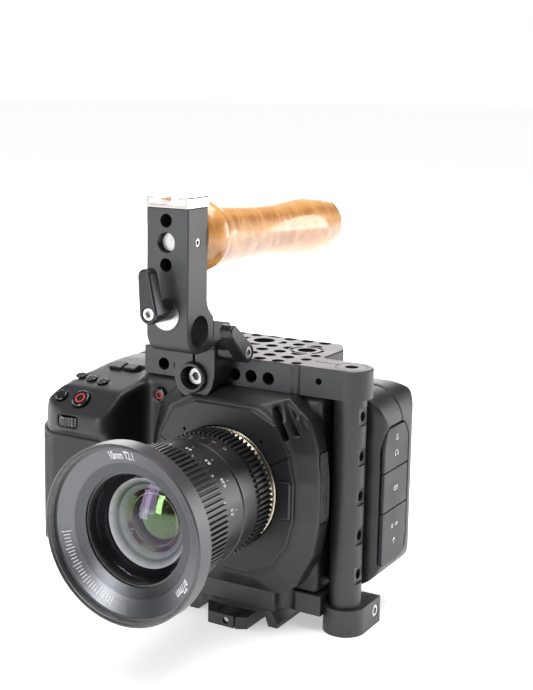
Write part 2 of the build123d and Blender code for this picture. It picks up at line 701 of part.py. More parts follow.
LEG_HALF = 25.0
TRIPOD_Y = -FLANGE_Y
LARGE_THREAD_Y = TRIPOD_Y - 11.5
CAMERA_SCREW_Y = 62.0
with BuildPart() as base_plate:
    with BuildSketch(level(BASE_BOTTOM)):
        add(outline([
            (-44, 12.5, 3), (22.2, 12.5, 0.8), (24.6, 19, 0), (ROD_X - 8, 19, 0), (ROD_X - 8, 40, 6),
            (27, 46, 6), (27, 76, 3), (-44, 76, 4)]))
        with Locations((27.6, 15.2)):
            Circle(5.0, mode=Mode.SUBTRACT)
    extrude(amount=BASE_TOP - BASE_BOTTOM)
    chamfer(base_plate.faces().sort_by(Axis.Z)[-1].edges(), 0.5)
    # the dovetail: two legs that flare outward to a short upright lip
    with BuildSketch(front(76)):
        for sign in (1, -1):
            with BuildLine():
                Polyline([(sign * x, z) for x, z in (
                    (LEG_HALF - 8, BASE_BOTTOM), (LEG_HALF - 5, FOOT_Z), (LEG_HALF, FOOT_Z),
                    (LEG_HALF, FOOT_Z + 2), (LEG_HALF - 3.6, BASE_BOTTOM))], close=True)
            make_face()
    extrude(amount=76 - 12)
    # the rod clamp: a ring with two ears behind it, split down the middle
    with BuildSketch(level(FOOT_Z, ROD_X, ROD_Y)):
        Circle(BOSS_R)
        with Locations((0, 9.2)):
            Rectangle(2 * BOSS_R, 18.5)
    extrude(amount=BASE_BOTTOM + 5.1 - FOOT_Z)
    with BuildSketch(level(FOOT_Z, ROD_X, ROD_Y)):
        Circle(ROD_R)
        with Locations((0, 13)):
            Rectangle(1.4, 14)
    extrude(amount=30, mode=Mode.SUBTRACT)
    with BuildSketch(side(ROD_X + BOSS_R, ROD_Y + 13, -63.3)):
        Circle(1.9)
    extrude(amount=-2 * BOSS_R, mode=Mode.SUBTRACT)
    with BuildSketch(side(ROD_X + BOSS_R, ROD_Y + 13, -63.3)):
        Circle(3.3)
    extrude(amount=-2.6, mode=Mode.SUBTRACT)
    # the tripod threads and the seat of the screw that holds the camera
    with BuildSketch(level(BASE_BOTTOM)):
        with Locations((0, TRIPOD_Y)):
            Circle(QUARTER_INCH)
        with Locations((0, LARGE_THREAD_Y)):
            Circle(THREE_EIGHTHS)
        with Locations((0, CAMERA_SCREW_Y)):
            Circle(QUARTER_INCH)
    extrude(amount=12, mode=Mode.SUBTRACT)
    with BuildSketch(level(BASE_BOTTOM)):
        with Locations((0, CAMERA_SCREW_Y)):
            Circle(7)
    extrude(amount=5, mode=Mode.SUBTRACT)
base_plate.part.label = "base_plate"
export_step(base_plate.part, "parts/base_plate.step")

camera_screw = socket_screw(
    Plane((0, CAMERA_SCREW_Y + FLANGE_Y, BASE_BOTTOM + 5 + AXIS_Z), x_dir=(1, 0, 0), z_dir=(0, 0, -1)),
    6.9, 4.4, QUARTER_INCH - 0.01, 5.2)
camera_screw.part.label = "camera_screw"
export_step(camera_screw.part, "parts/camera_screw.step")

rod_clamp_screw = socket_screw(side(ROD_X + BOSS_R - 2.6, ROD_Y + 13, -63.3), 3.2, 2.4, 1.85, 16)
rod_clamp_screw.part.label = "rod_clamp_screw"
export_step(rod_clamp_screw.part, "parts/rod_clamp_screw.step")

with BuildPart() as lens_support:
    with BuildSketch(level(FOOT_Z)):
        add(outline([
            (-7.5, 0.8, 1), (8, 0.8, 1), (13, 3.5, 1), (13, 24, 1), (-14, 24, 1), (-14, 11.5, 1)]))
        with Locations((-0.5, 7.5)):
            Circle(4.8, mode=Mode.SUBTRACT)
        with Locations((7.4, 4)):
            Rectangle(0.9, 8, mode=Mode.SUBTRACT)
        with Locations((5.6, 7.6)):
            Rectangle(4.4, 0.9, mode=Mode.SUBTRACT)
    extrude(amount=BASE_BOTTOM - FOOT_Z)
    with BuildSketch(level(-64.5)):
        with Locations((0, 0)):
            Rectangle(60, 23.8)
    extrude(amount=4, mode=Mode.SUBTRACT)
    with BuildSketch(front(0.8)):
        with Locations((2.4, -67.4)):
            Circle(1.7)
    extrude(amount=-4, mode=Mode.SUBTRACT)
lens_support.part.label = "lens_support"
export_step(lens_support.part, "parts/lens_support.step")

# ================= handle =================

SIDE_BORE = (-9.5, 75.6)
SIDE_BORE_R = 7.6
LEVER_Z = 86.2
DISC_Z = 84.0
BOLT_Z = 117.4
FACE_X = -19.4

with BuildPart() as rod_clamp_block:
    with BuildSketch(side(STUB_X - CLAMP_R)):
        add(outline([
            (CLAMP_FRONT, STUB_Z, 0), (CLAMP_FRONT, 64.6, 0.8), (3.1, 65.4, 0), (3.1, 79, 1.2), (PLATE_FRONT - 0.05, 76, 1.2),
            (PLATE_FRONT - 0.05, STUB_Z, 0)]))
    extrude(amount=22.6)
    with BuildSketch(front(PLATE_FRONT - 0.05, STUB_X, STUB_Z)):
        Circle(CLAMP_R)
    extrude(amount=PLATE_FRONT - 0.05 - CLAMP_FRONT)
    with BuildSketch(front(PLATE_FRONT, STUB_X, STUB_Z)):
        Circle(STUB_R)
        with Locations((0, 11)):
            Rectangle(1.2, 12)
    extrude(amount=30, mode=Mode.SUBTRACT)
    with BuildSketch(side(STUB_X, 10.5, 64)):
        Circle(2.5)
    extrude(amount=14, mode=Mode.SUBTRACT)
rod_clamp_block.part.label = "rod_clamp_block"
export_step(rod_clamp_block.part, "parts/rod_clamp_block.step")

with BuildPart() as rod_stub:
    with BuildSketch(front(18.4, STUB_X, STUB_Z)):
        Circle(STUB_R - 0.01)
    extrude(amount=18.4 - 1.2)
    chamfer(rod_stub.faces().sort_by(Axis.Y)[0].edges(), 0.7)
    with BuildSketch(front(1, STUB_X, STUB_Z)):
        Circle(5.7)
    extrude(amount=-9, mode=Mode.SUBTRACT)
    with BuildSketch(front(10, STUB_X, STUB_Z)):
        Circle(2.5)
    extrude(amount=-10, mode=Mode.SUBTRACT)
rod_stub.part.label = "rod_stub"
export_step(rod_stub.part, "parts/rod_stub.step")

stub_screw = socket_screw(front(10, STUB_X, STUB_Z), 4.5, 4.0, 2.48, 8.3)
stub_screw.part.label = "stub_screw"
export_step(stub_screw.part, "parts/stub_screw.step")

with BuildPart() as handle_post:
    with BuildSketch(side(POST_X - POST_W / 2)):
        add(outline([
            (POST_FRONT, POST_TOP, 0.6), (POST_BACK, POST_TOP, 0.6), (POST_BACK, 87, 9), (3, 81, 1.5),
            (3, 66.5, 1), (-2, 65.1, 2), (POST_FRONT, 65.1, 10)]))
    extrude(amount=POST_W)
    chamfer(handle_post.faces().filter_by(Axis.X).edges(), 0.5)
    with BuildSketch(side(POST_X - POST_W / 2 - 1, *SIDE_BORE)):
        Circle(SIDE_BORE_R)
    extrude(amount=POST_W + 2, mode=Mode.SUBTRACT)
    with BuildSketch(front(POST_FRONT)):
        with Locations((FACE_X, BOLT_Z + 10.1), (FACE_X, BOLT_Z - 10.3)):
            Circle(QUARTER_INCH)
        with Locations((FACE_X, BOLT_Z)):
            Circle(THREE_EIGHTHS)
    extrude(amount=-30, mode=Mode.SUBTRACT)
    with BuildSketch(front(POST_FRONT)):
        with Locations((FACE_X, DISC_Z)):
            Circle(7.3)
    extrude(amount=-1.6, mode=Mode.SUBTRACT)
    with BuildSketch(front(POST_FRONT)):
        with Locations((FACE_X, LEVER_Z)):
            Circle(2.6)
    extrude(amount=-9, mode=Mode.SUBTRACT)
    with BuildSketch(side(POST_X + POST_W / 2)):
        with Locations((POST_FRONT / 2 + POST_BACK / 2, BOLT_Z)):
            Circle(2.0)
    extrude(amount=-7.2, mode=Mode.SUBTRACT)
handle_post.part.label = "handle_post"
export_step(handle_post.part, "parts/handle_post.step")

with BuildPart() as post_set_screw:
    with BuildSketch(side(POST_X + POST_W / 2 - 6.2)):
        with Locations((POST_FRONT / 2 + POST_BACK / 2, BOLT_Z)):
            Circle(1.98)
    extrude(amount=5.9)
    with BuildSketch(side(POST_X + POST_W / 2)):
        with Locations((POST_FRONT / 2 + POST_BACK / 2, BOLT_Z)):
            RegularPolygon(1.1, 6)
    extrude(amount=-2.2, mode=Mode.SUBTRACT)
post_set_screw.part.label = "post_set_screw"
export_step(post_set_screw.part, "parts/post_set_screw.step")

# The accessory shoe: a bright channel whose two lips turn inward.
SHOE_W = 22.8
SHOE_LENGTH = 18.2
SHOE_REAR = -2.4
with BuildPart() as cold_shoe:
    with BuildSketch(front(SHOE_REAR)):
        with BuildLine():
            Polyline([(POST_X + x, POST_TOP + z) for x, z in (
                (-SHOE_W / 2, 0), (SHOE_W / 2, 0), (SHOE_W / 2, 5.0), (6.3, 5.0), (6.3, 3.7),
                (9.35, 3.7), (9.35, 1.5), (-9.35, 1.5), (-9.35, 3.7), (-6.3, 3.7), (-6.3, 5.0),
                (-SHOE_W / 2, 5.0))], close=True)
        make_face()
    extrude(amount=SHOE_LENGTH)
    fillet(cold_shoe.edges().filter_by(Axis.Y).group_by(Axis.Z)[-1].sort_by(Axis.X)[0], 1.0)
    fillet(cold_shoe.edges().filter_by(Axis.Y).group_by(Axis.Z)[-1].sort_by(Axis.X)[-1], 1.0)
cold_shoe.part.label = "cold_shoe"
export_step(cold_shoe.part, "parts/cold_shoe.step")

with BuildPart() as clamp_disc:
    with BuildSketch(front(POST_FRONT + 1.6, FACE_X, DISC_Z)):
        Circle(7.28)
        with Locations((0, LEVER_Z - DISC_Z)):
            Circle(2.6, mode=Mode.SUBTRACT)
    extrude(amount=1.9)
clamp_disc.part.label = "clamp_disc"
export_step(clamp_disc.part, "parts/clamp_disc.step")


def clamp_lever(seat, hub_length, lean, reach):
    """A clamping lever: a hub standing on the seat and an arm reaching out at its far end."""
    arm_thick = 6.4
    tip = (reach * sin(radians(lean)), reach * cos(radians(lean)))
    with BuildPart() as lever:
        with BuildSketch(seat):
            Circle(5.0)
        with BuildSketch(seat.offset(hub_length)):
            Circle(4.5)
        loft()
        with BuildSketch(seat.offset(hub_length - arm_thick)):
            Circle(4.8)
            with Locations(tip):
                Circle(3.4)
            make_hull()
        extrude(amount=arm_thick)
        fillet(lever.faces().sort_by(Axis(seat.origin, seat.z_dir))[-1].edges(), 1.1)
        with BuildSketch(seat.offset(hub_length)):
            Circle(3.3)
        extrude(amount=-3, mode=Mode.SUBTRACT)
        with BuildSketch(seat.offset(hub_length - 3)):
            Circle(2.1)
        extrude(amount=-hub_length + 3, mode=Mode.SUBTRACT)
    return lever


FRONT_LEVER_SEAT = front(POST_FRONT - 0.6, FACE_X, LEVER_Z)
FRONT_HUB = 14.0
front_lever = clamp_lever(FRONT_LEVER_SEAT, FRONT_HUB, -8, 17.2)
front_lever.part.label = "front_lever"
export_step(front_lever.part, "parts/front_lever.step")

front_lever_screw = socket_screw(FRONT_LEVER_SEAT.offset(FRONT_HUB - 3), 3.25, 2.6, 2.08, 14.3)
front_lever_screw.part.label = "front_lever_screw"
export_step(front_lever_screw.part, "parts/front_lever_screw.step")

SIDE_LEVER_SEAT = side(STUB_X + 11.6 + 0.3, 10.5, 64)
SIDE_HUB = 15.0
side_lever = clamp_lever(SIDE_LEVER_SEAT, SIDE_HUB, -49, 18)
side_lever.part.label = "side_lever"
export_step(side_lever.part, "parts/side_lever.step")

side_lever_screw = socket_screw(SIDE_LEVER_SEAT.offset(SIDE_HUB - 3), 3.25, 2.6, 2.08, 20)
side_lever_screw.part.label = "side_lever_screw"
export_step(side_lever_screw.part, "parts/side_lever_screw.step")

# The wooden grip is turned about an axis that falls slightly toward the rear.
GRIP_FALL = 2.3
GRIP_LENGTH = 141.0
grip_axis_dir = (0, cos(radians(GRIP_FALL)), -sin(radians(GRIP_FALL)))
grip_start = (FACE_X, POST_BACK + FLANGE_Y, GRIP_Z + AXIS_Z)
grip_plane = Plane(grip_start, x_dir=(1, 0, 0), z_dir=(0, sin(radians(GRIP_FALL)), cos(radians(GRIP_FALL))))
with BuildPart() as wood_grip:
    with BuildSketch(grip_plane):
        with BuildLine():
            Polyline([(12.4, 0.4), (3.3, 0.4), (3.3, GRIP_LENGTH), (6.0, GRIP_LENGTH)])
            ThreePointArc((6.0, GRIP_LENGTH), (13.4, GRIP_LENGTH - 3.6), (16.6, GRIP_LENGTH - 12))
            Spline([(16.6, GRIP_LENGTH - 12), (17.3, 114), (16.3, 90), (15.6, 64), (16.3, 36), (17.3, 12)])
            ThreePointArc((17.3, 12), (16.2, 4.4), (12.4, 0.4))
        make_face()
    revolve(axis=Axis(grip_start, grip_axis_dir))
    with BuildSketch(front(POST_BACK + 0.3)):
        Rectangle(200, 400)
    extrude(amount=20, mode=Mode.SUBTRACT)
wood_grip.part.label = "wood_grip"
export_step(wood_grip.part, "parts/wood_grip.step")

with BuildPart() as grip_bolt:
    with BuildSketch(front(POST_BACK + 0.2, FACE_X, BOLT_Z)):
        Circle(THREE_EIGHTHS - 0.05)
    extrude(amount=13.7)
    chamfer(grip_bolt.faces().sort_by(Axis.Y)[0].edges(), 0.6)
    with BuildSketch(Plane(grip_start, x_dir=(1, 0, 0), z_dir=grip_axis_dir)):
        Circle(3.25)
    extrude(amount=GRIP_LENGTH + 0.2)
    with BuildSketch(Plane(grip_start, x_dir=(1, 0, 0), z_dir=grip_axis_dir).offset(GRIP_LENGTH + 0.2)):
        Circle(5.6)
    extrude(amount=2)
grip_bolt.part.label = "grip_bolt"
export_step(grip_bolt.part, "parts/grip_bolt.step")

# ================= lens =================

RING_CLEAR = 0.3
BARREL_R = 28.3
REAR_BARREL_R = 26.0

lens_flange = turned([(THROAT_R + 0.4, -0.6), (MOUNT_R - 0.8, -0.6), (MOUNT_R - 0.8, -1.8), (27.6, -3.2),
                      (18.4, -3.2), (18.4, 3.0), (THROAT_R - 0.6, 3.0), (THROAT_R - 0.6, -0.6)])
lens_flange.part.label = "lens_flange"
export_step(lens_flange.part, "parts/lens_flange.step")

lens_barrel = turned([(18.5, -3.2), (REAR_BARREL_R, -3.2), (REAR_BARREL_R, -27.2), (29.6, -27.2), (30.2, -28.0),
                      (30.2, -30.0), (29.6, -30.6), (BARREL_R, -30.6), (BARREL_R, -71.2), (24.6, -71.2),
                      (24.6, -66), (20, -58), (20, -40), (18.5, -34)])
lens_barrel.part.label = "lens_barrel"
export_step(lens_barrel.part, "parts/lens_barrel.step")

with BuildPart() as iris_ring:
    with BuildSketch(front(-4.6)):
        add(ring_of_teeth(IRIS_TEETH, 30.1, REAR_BARREL_R + RING_CLEAR))
    extrude(amount=11.4)
    with BuildSketch(front(-16)):
        Circle(28.9)
        Circle(REAR_BARREL_R + RING_CLEAR, mode=Mode.SUBTRACT)
    extrude(amount=10.8)
    with BuildSketch(front(-3.6)):
        Circle(28.2)
        Circle(REAR_BARREL_R + RING_CLEAR, mode=Mode.SUBTRACT)
    extrude(amount=2)
iris_ring.part.label = "iris_ring"
export_step(iris_ring.part, "parts/iris_ring.step")

with BuildPart() as focus_ring:
    with BuildSketch(front(-46.5)):
        add(ring_of_teeth(FOCUS_TEETH, 32.0, BARREL_R + RING_CLEAR))
    extrude(amount=24)
    with BuildSketch(front(-30.9)):
        Circle(29.9)
        Circle(BARREL_R + RING_CLEAR, mode=Mode.SUBTRACT)
    extrude(amount=16)
focus_ring.part.label = "focus_ring"
export_step(focus_ring.part, "parts/focus_ring.step")

front_bell = turned([(BARREL_R, -71.0), (33.2, -71.0), (36.5, -72.4), (BELL_R - 1.2, -73.0), (BELL_R, -74.2),
                     (BELL_R, RIM_Y + 0.6), (BELL_R - 0.6, RIM_Y), (39.2, RIM_Y), (FILTER_R, RIM_Y + 0.8),
                     (FILTER_R, -79.4), (37.2, -79.2), (37.2, -76.0), (30.5, -72.6), (24.7, -72.6), (24.7, -71.25),
                     (BARREL_R, -71.25)])
front_bell.part.label = "front_bell"
export_step(front_bell.part, "parts/front_bell.step")

name_ring = turned([(37.1, -78.9), (37.1, -76.1), (30.5, -72.8), (25.4, -72.8), (25.4, -73.6), (30.2, -75.4)])
name_ring.part.label = "name_ring"
export_step(name_ring.part, "parts/name_ring.step")

FRONT_FACE = dome(-75.4, 24.4, -8.0)
FRONT_BACK_FACE = dome(-72.2, 22.6, -6.0)
with BuildPart() as front_element:
    with BuildSketch(level(0)):
        with BuildLine():
            ThreePointArc(*FRONT_FACE)
            Polyline([FRONT_FACE[2], (24.4, -66.2), FRONT_BACK_FACE[2]])
            ThreePointArc(*reversed(FRONT_BACK_FACE))
            Line(FRONT_BACK_FACE[0], FRONT_FACE[0])
        make_face()
    revolve(axis=LENS_AXIS)
front_element.part.label = "front_element"
export_step(front_element.part, "parts/front_element.step")

INNER_FACE = dome(-60.5, 12.2, -3.4)
with BuildPart() as inner_element:
    with BuildSketch(level(0)):
        with BuildLine():
            ThreePointArc(*INNER_FACE)
            Polyline([INNER_FACE[2], (19.6, -62.2), (19.9, -57.9), (19.9, -54), (0, -54), INNER_FACE[0]])
        make_face()
    revolve(axis=LENS_AXIS)
inner_element.part.label = "inner_element"
export_step(inner_element.part, "parts/inner_element.step")

REAR_FACE = dome(1.2, 13.0, 2.4)
with BuildPart() as rear_element:
    with BuildSketch(level(0)):
        with BuildLine():
            ThreePointArc(*REAR_FACE)
            Polyline([REAR_FACE[2], (18.3, -1.2), (18.3, -4.6), (0, -4.6), REAR_FACE[0]])
        make_face()
    revolve(axis=LENS_AXIS)
rear_element.part.label = "rear_element"
export_step(rear_element.part, "parts/rear_element.step")
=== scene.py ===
"""Finishes for a cinema camera rig: shells, cage, lens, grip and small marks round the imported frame."""

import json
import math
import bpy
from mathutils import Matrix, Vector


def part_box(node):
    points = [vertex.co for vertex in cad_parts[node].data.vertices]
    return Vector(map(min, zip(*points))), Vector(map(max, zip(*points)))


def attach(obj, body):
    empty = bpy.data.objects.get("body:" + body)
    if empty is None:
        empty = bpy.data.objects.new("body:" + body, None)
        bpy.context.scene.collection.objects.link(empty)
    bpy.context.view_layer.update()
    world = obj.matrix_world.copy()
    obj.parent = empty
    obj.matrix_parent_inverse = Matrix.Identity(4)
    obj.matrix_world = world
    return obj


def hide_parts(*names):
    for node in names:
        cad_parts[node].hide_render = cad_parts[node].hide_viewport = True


bl_info = {
    "name": "Cinema Camera Rig Finish",
    "version": (1, 0, 0),
    "blender": (4, 5, 0),
    "location": "View3D > Sidebar > Camera Rig",
    "description": "Shapes and finishes for a small cinema camera in a half cage, with its lens and wooden handle",
    "category": "Object",
}

import bpy
import numpy as np
from bpy.props import FloatProperty, FloatVectorProperty, PointerProperty
from mathutils import Matrix, Vector

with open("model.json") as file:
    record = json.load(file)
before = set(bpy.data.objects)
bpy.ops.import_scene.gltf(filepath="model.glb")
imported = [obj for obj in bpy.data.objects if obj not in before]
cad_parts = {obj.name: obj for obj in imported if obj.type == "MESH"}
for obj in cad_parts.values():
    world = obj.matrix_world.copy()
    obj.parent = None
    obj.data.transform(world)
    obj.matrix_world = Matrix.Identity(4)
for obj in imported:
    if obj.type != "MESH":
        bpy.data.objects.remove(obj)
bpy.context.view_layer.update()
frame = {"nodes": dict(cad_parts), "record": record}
NODES = frame["nodes"]

MM = 0.001
AXIS_HEIGHT = 62.4
FLANGE_Y = -42.0
STANDING_HEIGHT = -70.5


def at(x, y, z):
    """A point given in mm from the lens axis and the lens mount face, in the part's frame."""
    return Vector((x, y + FLANGE_Y, z + AXIS_HEIGHT)) * MM


def colour_prop(name, description, default):
    return FloatVectorProperty(name=name, description=description, subtype="COLOR", size=3, min=0, max=1,
                               default=default)


def length_prop(name, description, default):
    return FloatProperty(name=name, description=description, default=default, min=0, unit="LENGTH",
                         precision=5)


def share_prop(name, description, default):
    return FloatProperty(name=name, description=description, default=default, min=0, max=1, subtype="FACTOR")


class RigBodySettings(bpy.types.PropertyGroup):
    """The camera's moulded shells and rubber."""

    shell: colour_prop("Shell", "Colour of the moulded shells", (0.0060, 0.0064, 0.0074))
    rubber: colour_prop("Rubber", "Colour of the grip and the port doors", (0.0115, 0.0122, 0.0140))
    voxel: length_prop("Mesh size", "Size of the mesh that the shells are moulded from", 0.0006)
    rib_pitch: length_prop("Rib pitch", "Distance between two ribs of the grip rubber", 0.00165)
    rib_depth: length_prop("Rib depth", "Depth of the grooves between the ribs", 0.00042)
    record_red: colour_prop("Record red", "Colour of the rings on the two record buttons", (0.62, 0.03,
                                                                                            0.035))


class RigCageSettings(bpy.types.PropertyGroup):
    """The machined cage."""

    anodise: colour_prop("Anodise", "Colour of the bead-blasted cage", (0.0075, 0.0082, 0.0094))
    edge_width: length_prop("Edge break", "Width of the broken edges", 0.00028)
    edge_wear: share_prop("Edge wear", "How much of the edges is rubbed bright", 0.42)


class RigLensSettings(bpy.types.PropertyGroup):
    """The lens."""

    barrel: colour_prop("Barrel", "Colour of the lens barrel", (0.0045, 0.0045, 0.0050))
    ring_grey: colour_prop("Name ring", "Colour of the conical ring behind the filter thread", (0.120, 0.123,
                                                                                                0.130))
    mark: colour_prop("Marks", "Colour of the engraved figures", (0.90, 0.90, 0.89))
    figure_height: length_prop("Figure height", "Height of the scale figures", 0.0019)


class RigGripSettings(bpy.types.PropertyGroup):
    """The wooden handle."""

    light_wood: colour_prop("Light wood", "Pale bands of the wood", (0.60, 0.28, 0.072))
    dark_wood: colour_prop("Dark wood", "Dark bands of the wood", (0.36, 0.125, 0.022))


class RigStageSettings(bpy.types.PropertyGroup):
    """The floor and lights."""

    floor: colour_prop("Floor", "Colour of the floor", (0.93, 0.93, 0.933))
    key_watts: FloatProperty(name="Key light", description="Power of the overhead light", default=17,
                             unit="POWER")
    side_watts: FloatProperty(name="Side light", description="Power of the side lights", default=13,
                              unit="POWER")
    sky_strength: FloatProperty(name="Sky light", description="Strength of the even light over the floor",
                                default=1.7,
                                min=0)
    room: share_prop("Room light", "Brightness of the room that the surfaces reflect", 0.13)


SETTINGS = {
    "camera_body": RigBodySettings,
    "cage": RigCageSettings,
    "lens": RigLensSettings,
    "grip": RigGripSettings,
    "stage": RigStageSettings,
}


def setting(group):
    return getattr(bpy.context.scene, "rig_" + group)


def need(condition, words):
    """Stops the script where an operator can't finish."""
    if not condition:
        raise RuntimeError(words)


# ---------------------------------------------------------------- shader groups and materials


class Tree:
    """Short ways to add and join the nodes of one tree."""

    def __init__(self, tree):
        self.nodes = tree.nodes
        self.links = tree.links

    def add(self, kind, inputs=(), **settings):
        node = self.nodes.new(kind)
        for name, value in settings.items():
            setattr(node, name, value)
        for name, value in dict(inputs).items():
            self.feed(node.inputs[name], value)
        return node

    def feed(self, socket, value):
        """Joins an output to the socket, or sets the socket's own value."""
        if isinstance(value, bpy.types.NodeSocket):
            self.links.new(value, socket)
        elif socket.type == "RGBA" and len(value) == 3:
            socket.default_value = (*value, 1)
        else:
            socket.default_value = value

    def math(self, operation, *values, clamp=False):
        return self.add("ShaderNodeMath", enumerate(values), operation=operation, use_clamp=clamp).outputs[0]

    def mix(self, share, first, second):
        node = self.nodes.new("ShaderNodeMix")
        node.data_type = "RGBA"
        self.feed(node.inputs[0], share)
        self.feed(node.inputs[6], first)
        self.feed(node.inputs[7], second)
        return node.outputs[2]

    def spread(self, value, low, high, to_low=0.0, to_high=1.0):
        node = self.add("ShaderNodeMapRange", {0: value, 1: low, 2: high, 3: to_low, 4: to_high}, clamp=True)
        return node.outputs[0]

    def noise(self, vector, scale, detail=3.0, rough=0.55, distortion=0.0):
        node = self.add("ShaderNodeTexNoise", {"Vector": vector, "Scale": scale, "Detail": detail,
                                               "Roughness": rough, "Distortion": distortion})
        return node.outputs["Fac"]

    def place(self):
        return self.add("ShaderNodeTexCoord").outputs["Object"]

    def lens_radius(self):
        """Distance from the lens axis, in metres."""
        parts = self.add("ShaderNodeSeparateXYZ", {0: self.place()}).outputs
        high = self.math("SUBTRACT", parts["Z"], AXIS_HEIGHT * MM)
        return self.length_of(parts["X"], high)

    def length_of(self, first, second):
        squares = [self.math("MULTIPLY", value, value) for value in (first, second)]
        return self.math("SQRT", self.math("ADD", *squares))

    def circles(self, radius, per_metre, detail):
        """Fine turning marks, from the distance to their axis."""
        inputs = {"W": self.math("MULTIPLY", radius, per_metre), "Scale": 1.0, "Detail": detail}
        return self.add("ShaderNodeTexNoise", inputs, noise_dimensions="1D").outputs["Fac"]

    def bump(self, shader, height, distance, strength=1.0):
        relief = self.add("ShaderNodeBump", {"Height": height, "Distance": distance, "Strength": strength})
        self.feed(shader.inputs["Normal"], relief.outputs[0])


def new_group(name, inputs, outputs):
    """A shader group with named sockets, and its tree, inputs and output node."""
    group = bpy.data.node_groups.new(name, "ShaderNodeTree")
    for kind, way in ((inputs, "INPUT"), (outputs, "OUTPUT")):
        for socket, shape in kind:
            group.interface.new_socket(name=socket, in_out=way, socket_type="NodeSocket" + shape)
    tree = Tree(group)
    return group, tree, tree.add("NodeGroupInput").outputs, tree.add("NodeGroupOutput").inputs


def make_worn_and_glinting_edge_group():
    """A mask that is 1 on broken edges and breaks up along them."""
    group, tree, given, out = new_group(
        "Worn And Glinting Edge", [("Width", "Float"), ("Amount", "Float"), ("Patch Scale", "Float")], [("Mask", "Float")])
    rounded = tree.add("ShaderNodeBevel", {"Radius": given["Width"]}, samples=4).outputs[0]
    facing = tree.add("ShaderNodeNewGeometry").outputs["Normal"]
    likeness = tree.add("ShaderNodeVectorMath", {0: rounded, 1: facing},
                        operation="DOT_PRODUCT").outputs["Value"]
    bend = tree.spread(likeness, 0.995, 0.86)
    patch = tree.spread(tree.noise(tree.place(), given["Patch Scale"], 4), 0.38, 0.66)
    tree.feed(out["Mask"], tree.math("MULTIPLY", tree.math("MULTIPLY", bend, patch), given["Amount"],
                                     clamp=True))
    return group


def make_grain_group():
    """Fine surface grain: a height, a speckle mask and a slow drift over the surface."""
    group, tree, given, out = new_group(
        "Surface Grain", [("Grain Scale", "Float"), ("Drift Scale", "Float")],
        [("Height", "Float"), ("Speckle", "Float"), ("Drift", "Float")])
    where = tree.place()
    fine = tree.noise(where, given["Grain Scale"], 2, 0.6)
    tree.feed(out["Height"], fine)
    tree.feed(out["Speckle"], tree.spread(fine, 0.42, 0.68))
    tree.feed(out["Drift"], tree.spread(tree.noise(where, given["Drift Scale"], 5, 0.6, 0.4), 0.3, 0.7))
    return group


def make_dust_group():
    """Thin dust that settles on faces that look up."""
    group, tree, given, out = new_group("Settled Dust", [("Amount", "Float")], [("Mask", "Float")])
    facing = tree.add("ShaderNodeNewGeometry").outputs["Normal"]
    up = tree.add("ShaderNodeSeparateXYZ", {0: facing}).outputs["Z"]
    flecks = tree.spread(tree.noise(tree.place(), 2600, 2), 0.62, 0.80)
    haze = tree.spread(tree.noise(tree.place(), 45, 4), 0.35, 0.75, 0.15, 0.6)
    cover = tree.math("MULTIPLY", tree.spread(up, 0.2, 0.95), tree.math("MAXIMUM", flecks, haze))
    tree.feed(out["Mask"], tree.math("MULTIPLY", cover, given["Amount"], clamp=True))
    return group


def shader_group(name):
    makers = {"Worn And Glinting Edge": make_worn_and_glinting_edge_group, "Surface Grain": make_grain_group,
              "Settled Dust": make_dust_group}
    return bpy.data.node_groups.get(name) or makers[name]()


def new_material(name):
    material = bpy.data.materials.new(name)
    material.use_nodes = True
    return material, Tree(material.node_tree), material.node_tree.nodes["Principled BSDF"]


def use_group(tree, name, **values):
    node = tree.nodes.new("ShaderNodeGroup")
    node.node_tree = shader_group(name)
    for socket, value in values.items():
        tree.feed(node.inputs[socket.replace("_", " ")], value)
    return node.outputs


def finish_material(name, colour, drift=1.35, speckle=1.6, edge=(0.30, 0.30, 0.31), rough=(0.36, 0.48),
                    grain=4500.0, bump=0.00001, wear_and_glint=0.3, wear_width=0.0003, dust=0.02, drift_scale=38.0,
                    **constants):
    """A hard finish: body colour with drift, grain speckle, bright edges and a little dust; the bright edges are
    rubbed on most finishes and a painted highlight on the knurled wheel.
    """
    material, tree, shader = new_material(name)
    surface = use_group(tree, "Surface Grain", Grain_Scale=grain, Drift_Scale=drift_scale)
    edges = use_group(tree, "Worn And Glinting Edge", Width=wear_width, Amount=wear_and_glint, Patch_Scale=260.0)
    settled = use_group(tree, "Settled Dust", Amount=dust)
    shade = tree.mix(surface["Drift"], colour, [min(1, v * drift) for v in colour])
    shade = tree.mix(tree.math("MULTIPLY", surface["Speckle"], 0.6), shade, [min(1,
                                                                                 v * speckle) for v in colour])
    # Edge colour laid over the edge mask: rubbed edges on most finishes, a painted highlight on the knurled
    # wheel's teeth.
    shade = tree.mix(edges["Mask"], shade, edge)
    tree.feed(shader.inputs["Base Color"], tree.mix(settled["Mask"], shade, (0.42, 0.41, 0.40)))
    gloss = tree.spread(surface["Drift"], 0, 1, rough[0], rough[1])
    gloss = tree.math("ADD", gloss, tree.math("MULTIPLY", surface["Speckle"], 0.05))
    tree.feed(shader.inputs["Roughness"], tree.math("ADD", gloss, tree.math("MULTIPLY", settled["Mask"], 0.4),
                                                     clamp=True))
    tree.bump(shader, surface["Height"], bump)
    for socket, value in constants.items():
        shader.inputs[socket.replace("_", " ")].default_value = value
    return material


